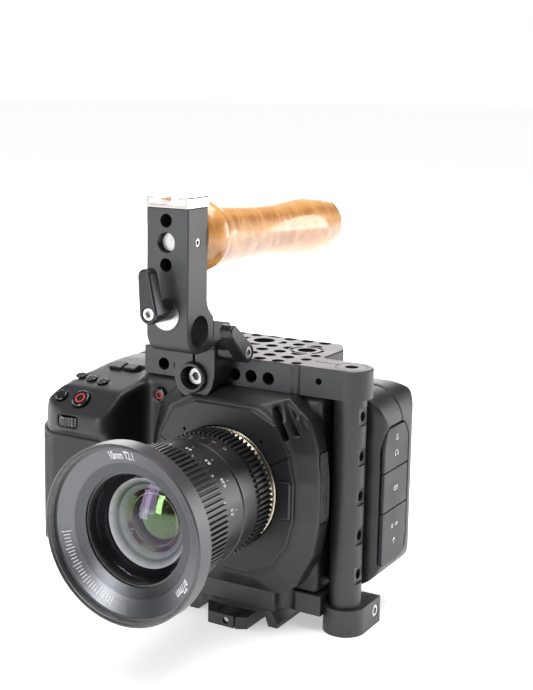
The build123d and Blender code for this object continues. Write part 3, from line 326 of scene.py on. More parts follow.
def turned_metal(name, colour, centre, axis, rough=0.2):
    """Turned bright metal, with fine circles round one axis."""
    material, tree, shader = new_material(name)
    from_centre = tree.add("ShaderNodeVectorMath", {0: tree.place(), 1: centre},
                           operation="SUBTRACT").outputs[0]
    parts = tree.add("ShaderNodeSeparateXYZ", {0: from_centre}).outputs
    across = [parts[i] for i in range(3) if i != axis]
    circles = tree.circles(tree.length_of(*across), 5200.0, 3.0)
    stain = tree.spread(tree.noise(tree.place(), 320, 4), 0.35, 0.7)
    edges = use_group(tree, "Worn And Glinting Edge", Width=0.0002, Amount=0.6, Patch_Scale=500.0)
    shade = tree.mix(stain, colour, [v * 0.80 for v in colour])
    tree.feed(shader.inputs["Base Color"], tree.mix(edges["Mask"], shade, (0.95, 0.94, 0.92)))
    tree.feed(shader.inputs["Roughness"], tree.spread(circles, 0.25, 0.75, rough, rough + 0.16))
    tree.bump(shader, circles, 0.000006)
    shader.inputs["Metallic"].default_value = 1.0
    return material


def engraved_paint(name, colour):
    """Filled engraving paint, slightly uneven."""
    material, tree, shader = new_material(name)
    patch = tree.spread(tree.noise(tree.place(), 1500, 4), 0.32, 0.6)
    tree.feed(shader.inputs["Base Color"], tree.mix(patch, [v * 0.6 for v in colour], colour))
    tree.feed(shader.inputs["Roughness"], tree.spread(patch, 0, 1, 0.62, 0.45))
    tree.bump(shader, patch, 0.00001, 0.6)
    return material


def rubber_material(name, colour):
    """Soft moulded rubber with a dry bloom on the faces that look up."""
    material, tree, shader = new_material(name)
    surface = use_group(tree, "Surface Grain", Grain_Scale=3200.0, Drift_Scale=60.0)
    settled = use_group(tree, "Settled Dust", Amount=0.10)
    edges = use_group(tree, "Worn And Glinting Edge", Width=0.0004, Amount=0.30, Patch_Scale=300.0)
    shade = tree.mix(surface["Drift"], colour, [v * 1.5 for v in colour])
    shade = tree.mix(edges["Mask"], shade, [v * 4.0 for v in colour])
    tree.feed(shader.inputs["Base Color"], tree.mix(settled["Mask"], shade, (0.30, 0.29, 0.28)))
    tree.feed(shader.inputs["Roughness"], tree.spread(surface["Drift"], 0, 1, 0.50, 0.66))
    tree.bump(shader, surface["Height"], 0.00003, 0.9)
    shader.inputs["Sheen Weight"].default_value = 0.12
    shader.inputs["Sheen Roughness"].default_value = 0.4
    return material


def wood_material():
    """Oiled and polished hardwood: growth bands along the handle, curl across it, and fine pores."""
    grip = setting("grip")
    material, tree, shader = new_material("Honey hardwood")
    where = tree.place()
    along = tree.add("ShaderNodeMapping", {"Vector": where, "Scale": (1.0, 0.11, 1.0),
                                           "Rotation": (math.radians(5), 0, math.radians(7))}).outputs[0]
    bends = tree.noise(along, 42, 3, 0.5, 0.8)
    bands = tree.add("ShaderNodeTexWave", {"Vector": along, "Scale": 26.0, "Distortion": 5.5, "Detail": 3.0,
                                           "Detail Scale": 1.6, "Phase Offset": 1.3},
                     wave_type="RINGS", rings_direction="Y", wave_profile="SIN").outputs["Fac"]
    curl_space = tree.add("ShaderNodeMapping", {"Vector": where, "Scale": (0.35, 1.0, 0.5),
                                                "Rotation": (0.5, 0.2, 0.3)}).outputs[0]
    curl = tree.spread(tree.noise(curl_space, 170, 2, 0.5, 1.1), 0.36, 0.68)
    pore_space = tree.add("ShaderNodeMapping", {"Vector": where, "Scale": (1.0, 0.05, 1.0)}).outputs[0]
    pores = tree.spread(tree.noise(pore_space, 2300, 3, 0.6), 0.60, 0.74)
    light, dark = tuple(grip.light_wood), tuple(grip.dark_wood)
    share = tree.math("MULTIPLY_ADD", bands, 0.55, tree.math("MULTIPLY", bends, 0.45))
    shade = tree.mix(tree.spread(share, 0.32, 0.80), light, dark)
    shade = tree.mix(tree.math("MULTIPLY", curl, 0.42), shade, (0.88, 0.53, 0.20))
    shade = tree.mix(tree.math("MULTIPLY", pores, 0.5), shade, (0.22, 0.07, 0.015))
    tree.feed(shader.inputs["Base Color"], shade)
    tree.feed(shader.inputs["Roughness"], tree.spread(curl, 0, 1, 0.34, 0.24))
    tree.bump(shader, tree.math("SUBTRACT", bends, pores), 0.00002, 0.8)
    shader.inputs["Coat Weight"].default_value = 0.85
    shader.inputs["Coat Roughness"].default_value = 0.07
    shader.inputs["Subsurface Weight"].default_value = 0.04
    shader.inputs["Subsurface Radius"].default_value = (0.004, 0.0016, 0.0006)
    return material


def name_ring_material():
    """Satin anodised ring, fine-turned, paler outside its step."""
    lens = setting("lens")
    material, tree, shader = new_material("Name ring grey")
    radius = tree.lens_radius()
    circles = tree.circles(radius, 6500.0, 2.0)
    fine = tree.noise(tree.place(), 5200, 2)
    outer = tree.spread(radius, 0.0299, 0.0303)
    grey = tuple(lens.ring_grey)
    shade = tree.mix(outer, [v * 0.52 for v in grey], grey)
    shade = tree.mix(tree.spread(fine, 0.45, 0.7, 0, 0.5), shade, [v * 1.5 for v in grey])
    tree.feed(shader.inputs["Base Color"], shade)
    tree.feed(shader.inputs["Roughness"], tree.spread(circles, 0.3, 0.7, 0.26, 0.36))
    tree.bump(shader, tree.math("ADD", circles, fine), 0.000008)
    shader.inputs["Metallic"].default_value = 0.95
    return material


def front_glass_material():
    """The clear, coated front glass, with a trace of dust."""
    material, tree, shader = new_material("Front glass")
    flecks = tree.spread(tree.noise(tree.place(), 1100, 1), 0.80, 0.86)
    tree.feed(shader.inputs["Base Color"], tree.mix(flecks, (0.90, 0.88, 0.93), (0.7, 0.7, 0.7)))
    tree.feed(shader.inputs["Roughness"], tree.spread(flecks, 0, 1, 0.0, 0.08))
    shader.inputs["Transmission Weight"].default_value = 1.0
    shader.inputs["IOR"].default_value = 1.46
    shader.inputs["Specular Tint"].default_value = (0.40, 0.30, 0.50, 1)
    return material


def inner_glass_material():
    """The inner group: a pale ring round dark glass with a brown and green coating."""
    material, tree, shader = new_material("Inner glass group")
    radius = tree.lens_radius()
    ramp = tree.add("ShaderNodeValToRGB", {0: tree.math("DIVIDE", radius, 0.02)})
    stops = [(0.0, (0.012, 0.034, 0.010)), (0.30, (0.030, 0.040, 0.014)), (0.48, (0.070, 0.036, 0.022)),
             (0.565, (0.040, 0.020, 0.016)), (0.572, (0.36, 0.36, 0.33)), (0.582, (0.36, 0.36, 0.33)),
             (0.590, (0.045, 0.016, 0.016)), (0.68, (0.075, 0.022, 0.024)), (0.70, (0.20, 0.21, 0.21)),
             (0.79, (0.32, 0.36, 0.36)), (0.82, (0.08, 0.09, 0.09)), (0.835, (0.003, 0.003, 0.004))]
    elements = ramp.color_ramp.elements
    for place, shade in stops[2:]:
        elements.new(place).color = (*shade, 1)
    elements[0].position, elements[0].color = stops[0][0], (*stops[0][1], 1)
    elements[1].position, elements[1].color = stops[1][0], (*stops[1][1], 1)
    cloud = tree.spread(tree.noise(tree.place(), 210, 3), 0.35, 0.7, 0.75, 1.0)
    tree.feed(shader.inputs["Base Color"],
              tree.add("ShaderNodeVectorMath", {0: ramp.outputs[0], "Scale": cloud},
                       operation="SCALE").outputs[0])
    tree.feed(shader.inputs["Roughness"], tree.spread(radius, 0.0136, 0.0140, 0.03, 0.45))
    shader.inputs["Specular Tint"].default_value = (0.55, 1.0, 0.35, 1)
    shader.inputs["IOR"].default_value = 1.9
    return material


def screen_material():
    """Display glass: deep gloss with faint finger marks."""
    material, tree, shader = new_material("Display glass")
    smear = tree.spread(tree.noise(tree.place(), 60, 5, 0.6, 1.5), 0.45, 0.75)
    tree.feed(shader.inputs["Base Color"], tree.mix(smear, (0.004, 0.0045, 0.006), (0.010, 0.011, 0.013)))
    tree.feed(shader.inputs["Roughness"], tree.spread(smear, 0, 1, 0.03, 0.16))
    shader.inputs["Coat Weight"].default_value = 1.0
    shader.inputs["Coat Roughness"].default_value = 0.02
    return material


def make_materials():
    """Every finish of the rig, by the name of its slot or piece."""
    body, cage, lens = setting("camera_body"), setting("cage"), setting("lens")
    shell, anodise, barrel = tuple(body.shell), tuple(cage.anodise), tuple(lens.barrel)
    bright = (0.56, 0.55, 0.535)
    return {
        "casing": finish_material("Moulded casing", shell, grain=2600, bump=0.000022, rough=(0.37, 0.45),
                                  wear_and_glint=0.16,
                                  edge=(0.06, 0.06, 0.065), dust=0.035),
        "casing_trim": finish_material("Casing trim", [v * 1.3 for v in shell], grain=2600, bump=0.00001,
                                       rough=(0.26, 0.34), wear_and_glint=0.25, edge=(0.12, 0.12, 0.12)),
        "buttons": finish_material("Polished buttons", (0.006, 0.006, 0.007), grain=900, bump=0.000002,
                                   rough=(0.07, 0.14), wear_and_glint=0.1, Coat_Weight=0.8, Coat_Roughness=0.04),
        "rubber": rubber_material("Moulded rubber", tuple(body.rubber)),
        "cage_black": finish_material("Blasted anodised aluminium", anodise, drift=1.2, speckle=2.6,
                                      grain=4200,
                                      bump=0.000018, rough=(0.38, 0.46), wear_and_glint=cage.edge_wear,
                                      wear_width=cage.edge_width, edge=(0.24, 0.24, 0.25), dust=0.03,
                                      IOR=1.62),
        "levers": finish_material("Black nylon", (0.0075, 0.0075, 0.0085), grain=1500, bump=0.000002,
                                  rough=(0.24, 0.30), wear_and_glint=0.15, edge=(0.07, 0.07, 0.07)),
        "steel": turned_metal("Turned steel", bright, at(-19.4, -20, 117.3), 1),
        "shoe_bright": finish_material("Folded bright metal", (0.66, 0.63, 0.60), drift=0.86, speckle=0.9,
                                       grain=900,
                                       bump=0.000006, rough=(0.16, 0.28), wear_and_glint=0.5, edge=(0.9, 0.88, 0.86),
                                       dust=0.04,
                                       Metallic=1.0),
        "mount_chrome": turned_metal("Mount metal", (0.50, 0.455, 0.37), at(0, 0, 0), 1, 0.16),
        "lens_black": finish_material("Barrel anodise", barrel, grain=5200, bump=0.000007, rough=(0.27, 0.36),
                                      wear_and_glint=0.30, wear_width=0.0002, edge=(0.16, 0.16, 0.17), dust=0.02,
                                      IOR=1.6),
        "bell_black": finish_material("Bell anodise", (0.020, 0.019, 0.021), grain=5200, bump=0.00001,
                                      rough=(0.34, 0.40), wear_and_glint=0.4, edge=(0.3, 0.3, 0.31), IOR=1.75),
        # The near-white edge colour of the knurled wheel is a painted highlight on its teeth.
        "wheel_gloss": finish_material("Knurled wheel", (0.05, 0.05, 0.052), grain=1500, bump=0.000004,
                                       rough=(0.14, 0.22), wear_and_glint=0.8, edge=(0.8, 0.8, 0.8), Metallic=0.9),
        "name_ring_grey": name_ring_material(),
        "lens_glass": front_glass_material(),
        "inner_glass": inner_glass_material(),
        "screen_glass": screen_material(),
        "screen_frame": finish_material("Display frame", (0.006, 0.006, 0.007), grain=1800, bump=0.000003,
                                        rough=(0.18, 0.26), wear_and_glint=0.2, edge=(0.08, 0.08, 0.08)),
        "grille_metal": finish_material("Perforated sheet", (0.13, 0.13, 0.135), grain=3500, bump=0.00001,
                                        rough=(0.30, 0.42), wear_and_glint=0.5, edge=(0.35, 0.35, 0.36), Metallic=0.6),
        "circuit": finish_material("Solder mask", (0.008, 0.045, 0.018), grain=1600, bump=0.00001,
                                   rough=(0.25, 0.4),
                                   wear_and_glint=0.2),
        "heat_sink_bare": finish_material("Extruded aluminium", (0.42, 0.43, 0.44), grain=2400, bump=0.00001,
                                          rough=(0.32, 0.46), wear_and_glint=0.4, edge=(0.7, 0.7, 0.7), Metallic=1.0),
        "inner_plastic": finish_material("Plain moulding", (0.018, 0.018, 0.02), grain=2200, bump=0.00002,
                                         rough=(0.45, 0.55), wear_and_glint=0.1),
        "wood_honey": wood_material(),
        "marks": engraved_paint("Engraving paint", tuple(lens.mark)),
        "dim_marks": engraved_paint("Dim engraving", [v * 0.35 for v in lens.mark]),
        "record_red": engraved_paint("Record red", tuple(body.record_red)),
    }


MATERIALS = {}


def dress(piece, finish):
    """Gives a piece or node its one finish."""
    if not MATERIALS:
        MATERIALS.update(make_materials())
    piece.data.materials.clear()
    piece.data.materials.append(MATERIALS[finish])


# ---------------------------------------------------------------- mesh tools


def shading_group():
    """Smooth shading, with edges over 40 degrees kept sharp."""
    group = bpy.data.node_groups.get("Shade By Angle")
    if group:
        return group
    group = bpy.data.node_groups.new("Shade By Angle", "GeometryNodeTree")
    group.is_modifier = True
    for way in ("INPUT", "OUTPUT"):
        group.interface.new_socket(name="Geometry", in_out=way, socket_type="NodeSocketGeometry")
    tree = Tree(group)
    given = tree.add("NodeGroupInput").outputs[0]
    faces = tree.add("GeometryNodeSetShadeSmooth", {"Geometry": given}, domain="FACE").outputs[0]
    angle = tree.add("GeometryNodeInputMeshEdgeAngle").outputs["Unsigned Angle"]
    shallow = tree.math("LESS_THAN", angle, math.radians(40))
    edges = tree.add("GeometryNodeSetShadeSmooth", {"Geometry": faces, "Shade Smooth": shallow},
                     domain="EDGE")
    tree.feed(tree.add("NodeGroupOutput").inputs[0], edges.outputs[0])
    return group


def soften(node, width, segments=2, angle=28):
    """Breaks the sharp edges of a CAD node with modifiers, leaving its mesh as it is."""
    piece = NODES[node]
    piece.modifiers.new("Join", "WELD").merge_threshold = 0.00001
    plain = piece.modifiers.new("Plain faces", "DECIMATE")
    plain.decimate_type = "DISSOLVE"
    plain.angle_limit = math.radians(0.4)
    bevel = piece.modifiers.new("Broken edges", "BEVEL")
    bevel.width = width * MM
    bevel.segments = segments
    bevel.limit_method = "ANGLE"
    bevel.angle_limit = math.radians(angle)
    bevel.miter_outer = "MITER_ARC"
    piece.modifiers.new("Shading", "NODES").node_group = shading_group()
    normals = piece.modifiers.new("Face normals", "WEIGHTED_NORMAL")
    normals.keep_sharp = True


def new_piece(name, points, faces, finish, body="rig", smooth=True):
    mesh = bpy.data.meshes.new(name)
    mesh.from_pydata([tuple(p) for p in points], [], faces)
    mesh.validate()
    if smooth:
        mesh.shade_smooth()
    else:
        mesh.shade_flat()
    return join_scene(name, mesh, finish, body)


def join_scene(name, mesh, finish, body="rig"):
    piece = bpy.data.objects.new(name, mesh)
    bpy.context.scene.collection.objects.link(piece)
    dress(piece, finish)
    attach(piece, body)
    return piece


def settled_mesh(piece):
    """The piece's mesh with its modifiers applied."""
    shown = piece.evaluated_get(bpy.context.evaluated_depsgraph_get())
    return bpy.data.meshes.new_from_object(shown)


def remeshed(node, name, voxel):
    """A fine even mesh in the shape of a CAD node."""
    draft = bpy.data.objects.new(name + "_draft", NODES[node].data.copy())
    bpy.context.scene.collection.objects.link(draft)
    draft.modifiers.new("Join", "WELD").merge_threshold = 0.00001
    even = draft.modifiers.new("Even", "REMESH")
    even.mode = "VOXEL"
    even.voxel_size = voxel
    mesh = settled_mesh(draft)
    bpy.data.objects.remove(draft)
    mesh.name = name
    return mesh


def vertex_array(mesh):
    points = np.empty(len(mesh.vertices) * 3)
    mesh.vertices.foreach_get("co", points)
    return points.reshape(-1, 3)


def relax(mesh, passes, strength):
    """Rounds a mesh by moving each vertex toward its neighbours, by its own strength."""
    points = vertex_array(mesh)
    edges = np.empty(len(mesh.edges) * 2, int)
    mesh.edges.foreach_get("vertices", edges)
    first, second = edges.reshape(-1, 2).T
    count = np.bincount(edges, minlength=len(points))[:, None]
    share = strength(points)[:, None]
    for _ in range(passes):
        total = np.stack([np.bincount(first, points[second, i], len(points))
                          + np.bincount(second, points[first, i], len(points)) for i in range(3)], axis=1)
        points = points + share * (total / count - points)
    mesh.vertices.foreach_set("co", points.ravel())
    mesh.update()
    return points


def from_lens(points):
    """Part-frame metres as mm from the lens axis and mount face."""
    return points / MM - np.array([0, FLANGE_Y, AXIS_HEIGHT])


def ramp(values, low, high):
    return np.clip((values - low) / (high - low), 0, 1)


# The six sides of a block whose points are its lower four, in turn, and then its upper four.
BLOCK_FACES = ((3, 2, 1, 0), (4, 5, 6, 7), (0, 1, 5, 4), (1, 2, 6, 5), (2, 3, 7, 6), (3, 0, 4, 7))


def ring_faces(steps, size):
    """The faces between each section of a closed ring and the next, for sections of size points."""
    faces = []
    for i in range(steps):
        here, there = i * size, (i + 1) % steps * size
        faces += [(here + k, here + (k + 1) % size, there + (k + 1) % size, there + k) for k in range(size)]
    return faces


def turned_ring(name, profile, finish, steps=160):
    """A closed ring turned about the lens axis; the profile is (radius, y) in mm."""
    points = []
    for i in range(steps):
        turn = 2 * math.pi * i / steps
        points += [at(r * math.cos(turn), y, r * math.sin(turn)) for r, y in profile]
    piece = new_piece(name, points, ring_faces(steps, len(profile)), finish)
    piece.modifiers.new("Shading", "NODES").node_group = shading_group()
    return piece


def text_mesh(words, height, thickness):
    """Figures as a flat mesh, centred, with their height along Y and thickness along Z."""
    curve = bpy.data.curves.new("figures", "FONT")
    curve.body = words
    curve.size = height * 1.35
    curve.align_x = "CENTER"
    curve.align_y = "CENTER"
    curve.extrude = thickness / 2
    curve.resolution_u = 3
    holder = bpy.data.objects.new("figures", curve)
    bpy.context.scene.collection.objects.link(holder)
    mesh = settled_mesh(holder)
    bpy.data.objects.remove(holder)
    bpy.data.curves.remove(curve)
    return mesh


def wrapped_marks(name, marks, body, finish="marks", from_front=False):
    """Figures and lines wrapped round the lens.

    A mark is (figures or line width, height or line length, turn, radius at a y, y, +1 with its top to the
    rear or -1 to the front).
    """
    points, faces = [], []

    def add_flat(flat, polygons, turn, radius_at, y, up):
        start = len(points)
        for across, along, deep in flat:
            place = y + along * up
            radius = radius_at(place) + deep
            angle = turn - across / radius_at(y) * (1 if from_front else up)
            points.append(at(radius * math.cos(angle), place, radius * math.sin(angle)))
        faces.extend([tuple(start + i for i in polygon) for polygon in polygons])

    for what, size, degrees, radius_at, y, up in marks:
        turn = math.radians(degrees)
        if isinstance(what, str):
            mesh = text_mesh(what, size, 0.12)
            flat = [tuple(v.co) for v in mesh.vertices]
            add_flat(flat, [tuple(p.vertices) for p in mesh.polygons], turn, radius_at, y, up)
            bpy.data.meshes.remove(mesh)
        else:
            half_wide, half_long = what / 2, size / 2
            flat = [(x, v, d) for d in (-0.06, 0.06) for x, v in
                    ((-half_wide, -half_long), (half_wide, -half_long), (half_wide, half_long), (-half_wide,
                                                                                                 half_long))]
            add_flat(flat, BLOCK_FACES, turn, radius_at, y, up)
    return new_piece(name, points, faces, finish, body, smooth=False)


# ---------------------------------------------------------------- the pieces


class RIG_OT_camera_shells(bpy.types.Operator):
    """Moulds the front and rear shells with soft corners"""

    bl_idname = "rig.camera_shells"
    bl_label = "Camera shells"

    BUTTON_PLACES = (
        (-82.5, -1.6, 31.6), (-95, -1.4, 31.8), (-94.6, 14.6, 39), (-86.8, 13.2, 38.7), (-78.8, 11.8, 38.3),
        (-49, 20, 34.2), (-86, -8, 21), (-82.6, 31, 42.8), (-72.6, 31, 42.8))
    VENT_PLACE = (33.5, 36.5)
    DOORS_MIDDLE = 54.5

    def execute(self, context):
        body = setting("camera_body")
        for node, passes in (("front_casing", 44), ("rear_casing", 24)):
            mesh = remeshed(node, "moulded_" + node, body.voxel)
            need(len(mesh.vertices) > 10000, node + " came out of its mould empty")
            relax(mesh, 2, lambda p: np.full(len(p), 0.4))
            relax(mesh, passes, self.softness)
            mesh.shade_smooth()
            piece = join_scene("moulded_" + node, mesh, "casing")
            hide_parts(node)
        return {"FINISHED"}

    @classmethod
    def softness(cls, points):
        """How readily a corner rounds: full on the grip and body, little at the mount, buttons and doors."""
        x, y, z = from_lens(points).T
        grip = ramp(-x, 50, 58)
        nose = ramp(np.hypot(x, z), 32, 38) * ramp(-np.abs(x), -49, -46) * ramp(-y, -24, -20)
        share = 0.55 * grip + 0.10 * nose + 0.28 * (1 - grip) * (1 - nose)
        for bx, by, bz in cls.BUTTON_PLACES:
            near = np.sqrt((x - bx) ** 2 + (y - by) ** 2 + (z - bz) ** 2)
            share = share * (0.10 + 0.90 * ramp(near, 6.0, 9.5))
        vents = np.abs(x - cls.VENT_PLACE[0]) + np.abs(z - cls.VENT_PLACE[1])
        share = share * (0.04 + 0.96 * ramp(vents, 13, 19))
        doors = ramp(x, 61, 63) * ramp(-np.abs(y - cls.DOORS_MIDDLE), -17, -14)
        return share * (1 - 0.85 * doors)


class RIG_OT_grip_rubber(bpy.types.Operator):
    """Makes the grip's rubber with its curved diagonal ribs"""

    bl_idname = "rig.grip_rubber"
    bl_label = "Grip rubber"

    MESH_SIZE = 0.00036
    CORNER_Y = -5
    ARC_CENTRE = (-40, -70)
    TOP_EDGE = 13.4

    def execute(self, context):
        body = setting("camera_body")
        mesh = remeshed("grip_rubber", "ribbed_grip", self.MESH_SIZE)
        need(len(mesh.vertices) > 5000, "the grip rubber came out empty")
        relax(mesh, 5, lambda p: np.full(len(p), 0.4))
        points = vertex_array(mesh)
        normals = np.empty(len(points) * 3)
        mesh.vertices.foreach_get("normal", normals)
        normals = normals.reshape(-1, 3)
        x, y, z = from_lens(points).T
        past_corner = np.maximum(0, y - self.CORNER_Y)
        bow = np.hypot(x - past_corner - self.ARC_CENTRE[0], z - self.ARC_CENTRE[1]) * MM / body.rib_pitch
        wave = 0.5 + 0.5 * np.cos(2 * math.pi * bow)
        groove = np.clip(1.25 * wave - 0.25, 0, 1) ** 0.8
        top = self.TOP_EDGE - 0.10 * past_corner
        border = ramp(z, -44.4, -43.4) * ramp(-z, -top + 1.5, -top + 2.6) * ramp(-y, -61.5, -60.5)
        border *= ramp(-x, 67.6, 68.8) + ramp(y, 1, 3)
        outward = ramp(-normals[:, 1], 0.2, 0.5) + ramp(-normals[:, 0], 0.3, 0.6)
        depth = groove * np.clip(border, 0, 1) * np.clip(outward, 0, 1) * body.rib_depth
        points -= normals * depth[:, None]
        mesh.vertices.foreach_set("co", points.ravel())
        mesh.update()
        mesh.shade_smooth()
        piece = join_scene("ribbed_grip", mesh, "rubber")
        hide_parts("grip_rubber")
        return {"FINISHED"}


class RIG_OT_frame_finishes(bpy.types.Operator):
    """Gives every machined and moulded node its broken edges and its finish"""

    bl_idname = "rig.frame_finishes"
    bl_label = "Frame finishes"

    BROKEN = {
        "cage_black": 0.30, "levers": 0.45, "shoe_bright": 0.16, "steel": 0.12, "rubber": 0.55,
        "casing": 0.35,
        "casing_trim": 0.25, "buttons": 0.22, "screen_frame": 0.3, "lens_black": 0.12, "mount_chrome": 0.12,
        "name_ring_grey": 0.08,
    }
    OWN_FINISH = {"front_bell": "bell_black", "inner_element": "inner_glass", "control_wheel": "wheel_gloss"}
    PLAIN = {"front_casing", "rear_casing", "grip_rubber", "side_grille", "mount_cover_upper",
             "mount_cover_lower"}

    def execute(self, context):
        for part in frame["record"]["subparts"]:
            node, slot = part["node"], part["material_slot"]
            finish = self.OWN_FINISH.get(node, slot)
            dress(NODES[node], finish)
            width = self.BROKEN.get(slot)
            if width and node not in self.PLAIN:
                soften(node, width)
        return {"FINISHED"}


class RIG_OT_record_rings(bpy.types.Operator):
    """Lays the red rings on the two record buttons"""

    bl_idname = "rig.record_rings"
    bl_label = "Record rings"

    def execute(self, context):
        for node, radius in (("record_button_front", 1.65), ("record_button_top", 2.35)):
            low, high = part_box(node)
            mesh = NODES[node].data
            area = sorted(mesh.polygons, key=lambda p: -p.area)
            facing = Vector((0, -1, 0)) if node.endswith("front") else area[0].normal.copy()
            if facing.z < 0 and not node.endswith("front"):
                facing = -facing
            middle = (low + high) / 2
            reach = max(facing.dot(v.co - middle) for v in mesh.vertices)
            top = middle + facing * (reach + 0.00003)
            turn = facing.to_track_quat("Z", "Y").to_matrix()
            points, steps = [], 48
            section = ((radius - 0.32, -0.05), (radius + 0.32, -0.05), (radius + 0.28, 0.03), (radius - 0.28,
                                                                                               0.03))
            for i in range(steps):
                angle = 2 * math.pi * i / steps
                points += [top + turn @ Vector((r * math.cos(angle), r * math.sin(angle), h)) * MM for r,
                           h in section]
            new_piece(node + "_ring", points, ring_faces(steps, len(section)), "record_red", node,
                      smooth=False)
        return {"FINISHED"}


class RIG_OT_grilles(bpy.types.Operator):
    """Makes the perforated sheets at the side of the nose and beside the grip"""

    bl_idname = "rig.grilles"
    bl_label = "Grilles"

    @staticmethod
    def sheet(name, corner, across, up, out, wide, high, pitch, slot="grille_metal"):
        """A sheet with staggered round holes, each in its own cell."""
        points, faces = [], []
        rows = round(high / (pitch * 0.866))
        step_up, half = high / rows, pitch * 0.5
        for row in range(rows):
            shift = half if row % 2 else 0
            columns = int((wide - shift) / pitch)
            for column in range(columns):
                u, v = shift + (column + 0.5) * pitch, (row + 0.5) * step_up
                start = len(points)
                for depth in (0.0, -0.35):
                    for i in range(8):
                        angle = math.pi * (i + 0.5) / 4
                        points.append(corner + across * (u + 0.30 * pitch * math.cos(angle))
                                      + up * (v + 0.30 * pitch * math.sin(angle)) + out * depth)
                    for i in range(8):
                        angle = math.pi * (i + 0.5) / 4
                        reach = 1 / max(abs(math.cos(angle)), abs(math.sin(angle)))
                        points.append(corner + across * (u + half * reach * math.cos(angle))
                                      + up * (v + step_up / 2 * reach * math.sin(angle)) + out * depth)
                for i in range(8):
                    k = (i + 1) % 8
                    faces += [(start + i, start + 8 + i, start + 8 + k, start + k),
                              (start + 16 + k, start + 24 + k, start + 24 + i, start + 16 + i),
                              (start + k, start + 16 + k, start + 16 + i, start + i),
                              (start + 8 + i, start + 24 + i, start + 24 + k, start + 8 + k)]
        return new_piece(name, [p * MM for p in points], faces, "grille_metal", smooth=False)

    def execute(self, context):
        low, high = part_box("side_grille")
        low, high = low / MM, high / MM
        corner = Vector((high.x, low.y + 0.3, low.z + 0.3))
        piece = self.sheet("side_grille_sheet", corner, Vector((0, 1, 0)), Vector((0, 0, 1)), Vector((1, 0,
                                                                                                      0)),
                           high.y - low.y - 0.6, high.z - low.z - 0.6, 0.92)
        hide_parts("side_grille")
        self.sheet("front_grille_sheet", at(-51.5, 19.9, 1.0) / MM, Vector((1, 0, 0)), Vector((0, 0, 1)),
                   Vector((0, -1, 0)), 9.5, 15.5, 1.15)
        return {"FINISHED"}


class RIG_OT_lens_marks(bpy.types.Operator):
    """Engraves the scales, the index lines and the ring figures of the lens"""

    bl_idname = "rig.lens_marks"
    bl_label = "Lens marks"

    FOCUS_RADIUS, IRIS_RADIUS, COLLAR_RADIUS = 29.92, 28.92, 30.22
    # The name ring's cone, which opens toward the front from its rear edge.
    CONE_REAR, CONE_RADIUS, CONE_LENGTH, CONE_RISE = -75.4, 30.2, 3.5, 6.9
    CONE_MARKS_Y = -77.2
    THREAD_PITCH, THREAD_TURNS, THREAD_FRONT = 0.5, 6, -82.5

    def execute(self, context):
        high = setting("lens").figure_height / MM

        def band(radius):
            return lambda y: radius

        def cone(y):
            return self.CONE_RADIUS + (self.CONE_REAR - y) / self.CONE_LENGTH * self.CONE_RISE

        focus = band(self.FOCUS_RADIUS)
        marks = []
        for figure, turn in (("0.2", 8), ("0.25", 34), ("0.3", 56), ("0.4", 77), ("0.6", 97), ("1", 115),
                             ("2", 132),
                             ("∞", 150)):
            marks += [(figure, high, turn, focus, -40.2, -1), (0.16, 1.2, turn, focus, -36.6, -1)]
        for figure, turn in (("8", 18), ("10", 42), ("1.2", 66), ("2", 104), ("5", 127)):
            marks.append((figure, high * 0.85, turn, focus, -44.6, -1))
        wrapped_marks("focus_scale", marks, "focus_ring")
        iris = band(self.IRIS_RADIUS)
        stops = ["22", "16", "11", "8", "5.6", "4", "2.8", "2.1"]
        marks = []
        for i, figure in enumerate(stops):
            turn = 62 + 12 * i
            marks += [(figure, high * 0.85, turn, iris, -20.6, -1), (0.14, 1.1, turn, iris, -24.6, -1)]
        wrapped_marks("iris_scale", marks, "iris_ring", "dim_marks")
        collar = band(self.COLLAR_RADIUS)
        lines = [(0.3, 2.2, turn, collar, -28.9, 1) for turn in (90, 151)]
        wrapped_marks("index_lines", lines, "rig", "dim_marks")
        ring = (cone, self.CONE_MARKS_Y, -1)
        marks = [("10mm T2.1", 2.1, 96, *ring), ("ø77mm", 2.1, -35, *ring)]
        marks += [(0.26, 1.3 if i % 5 else 2.0, -105 - 2.6 * i, *ring) for i in range(26)]
        wrapped_marks("ring_figures", marks, "rig", from_front=True)
        thread = []
        for i in range(self.THREAD_TURNS):
            start = self.THREAD_FRONT + self.THREAD_PITCH * i
            thread += [(38.5, start), (38.12, start + self.THREAD_PITCH / 2)]
        rear = self.THREAD_FRONT + self.THREAD_PITCH * self.THREAD_TURNS
        thread += [(38.5, rear), (38.52, rear), (38.52, self.THREAD_FRONT)]
        turned_ring("filter_thread", thread, "bell_black")
        return {"FINISHED"}


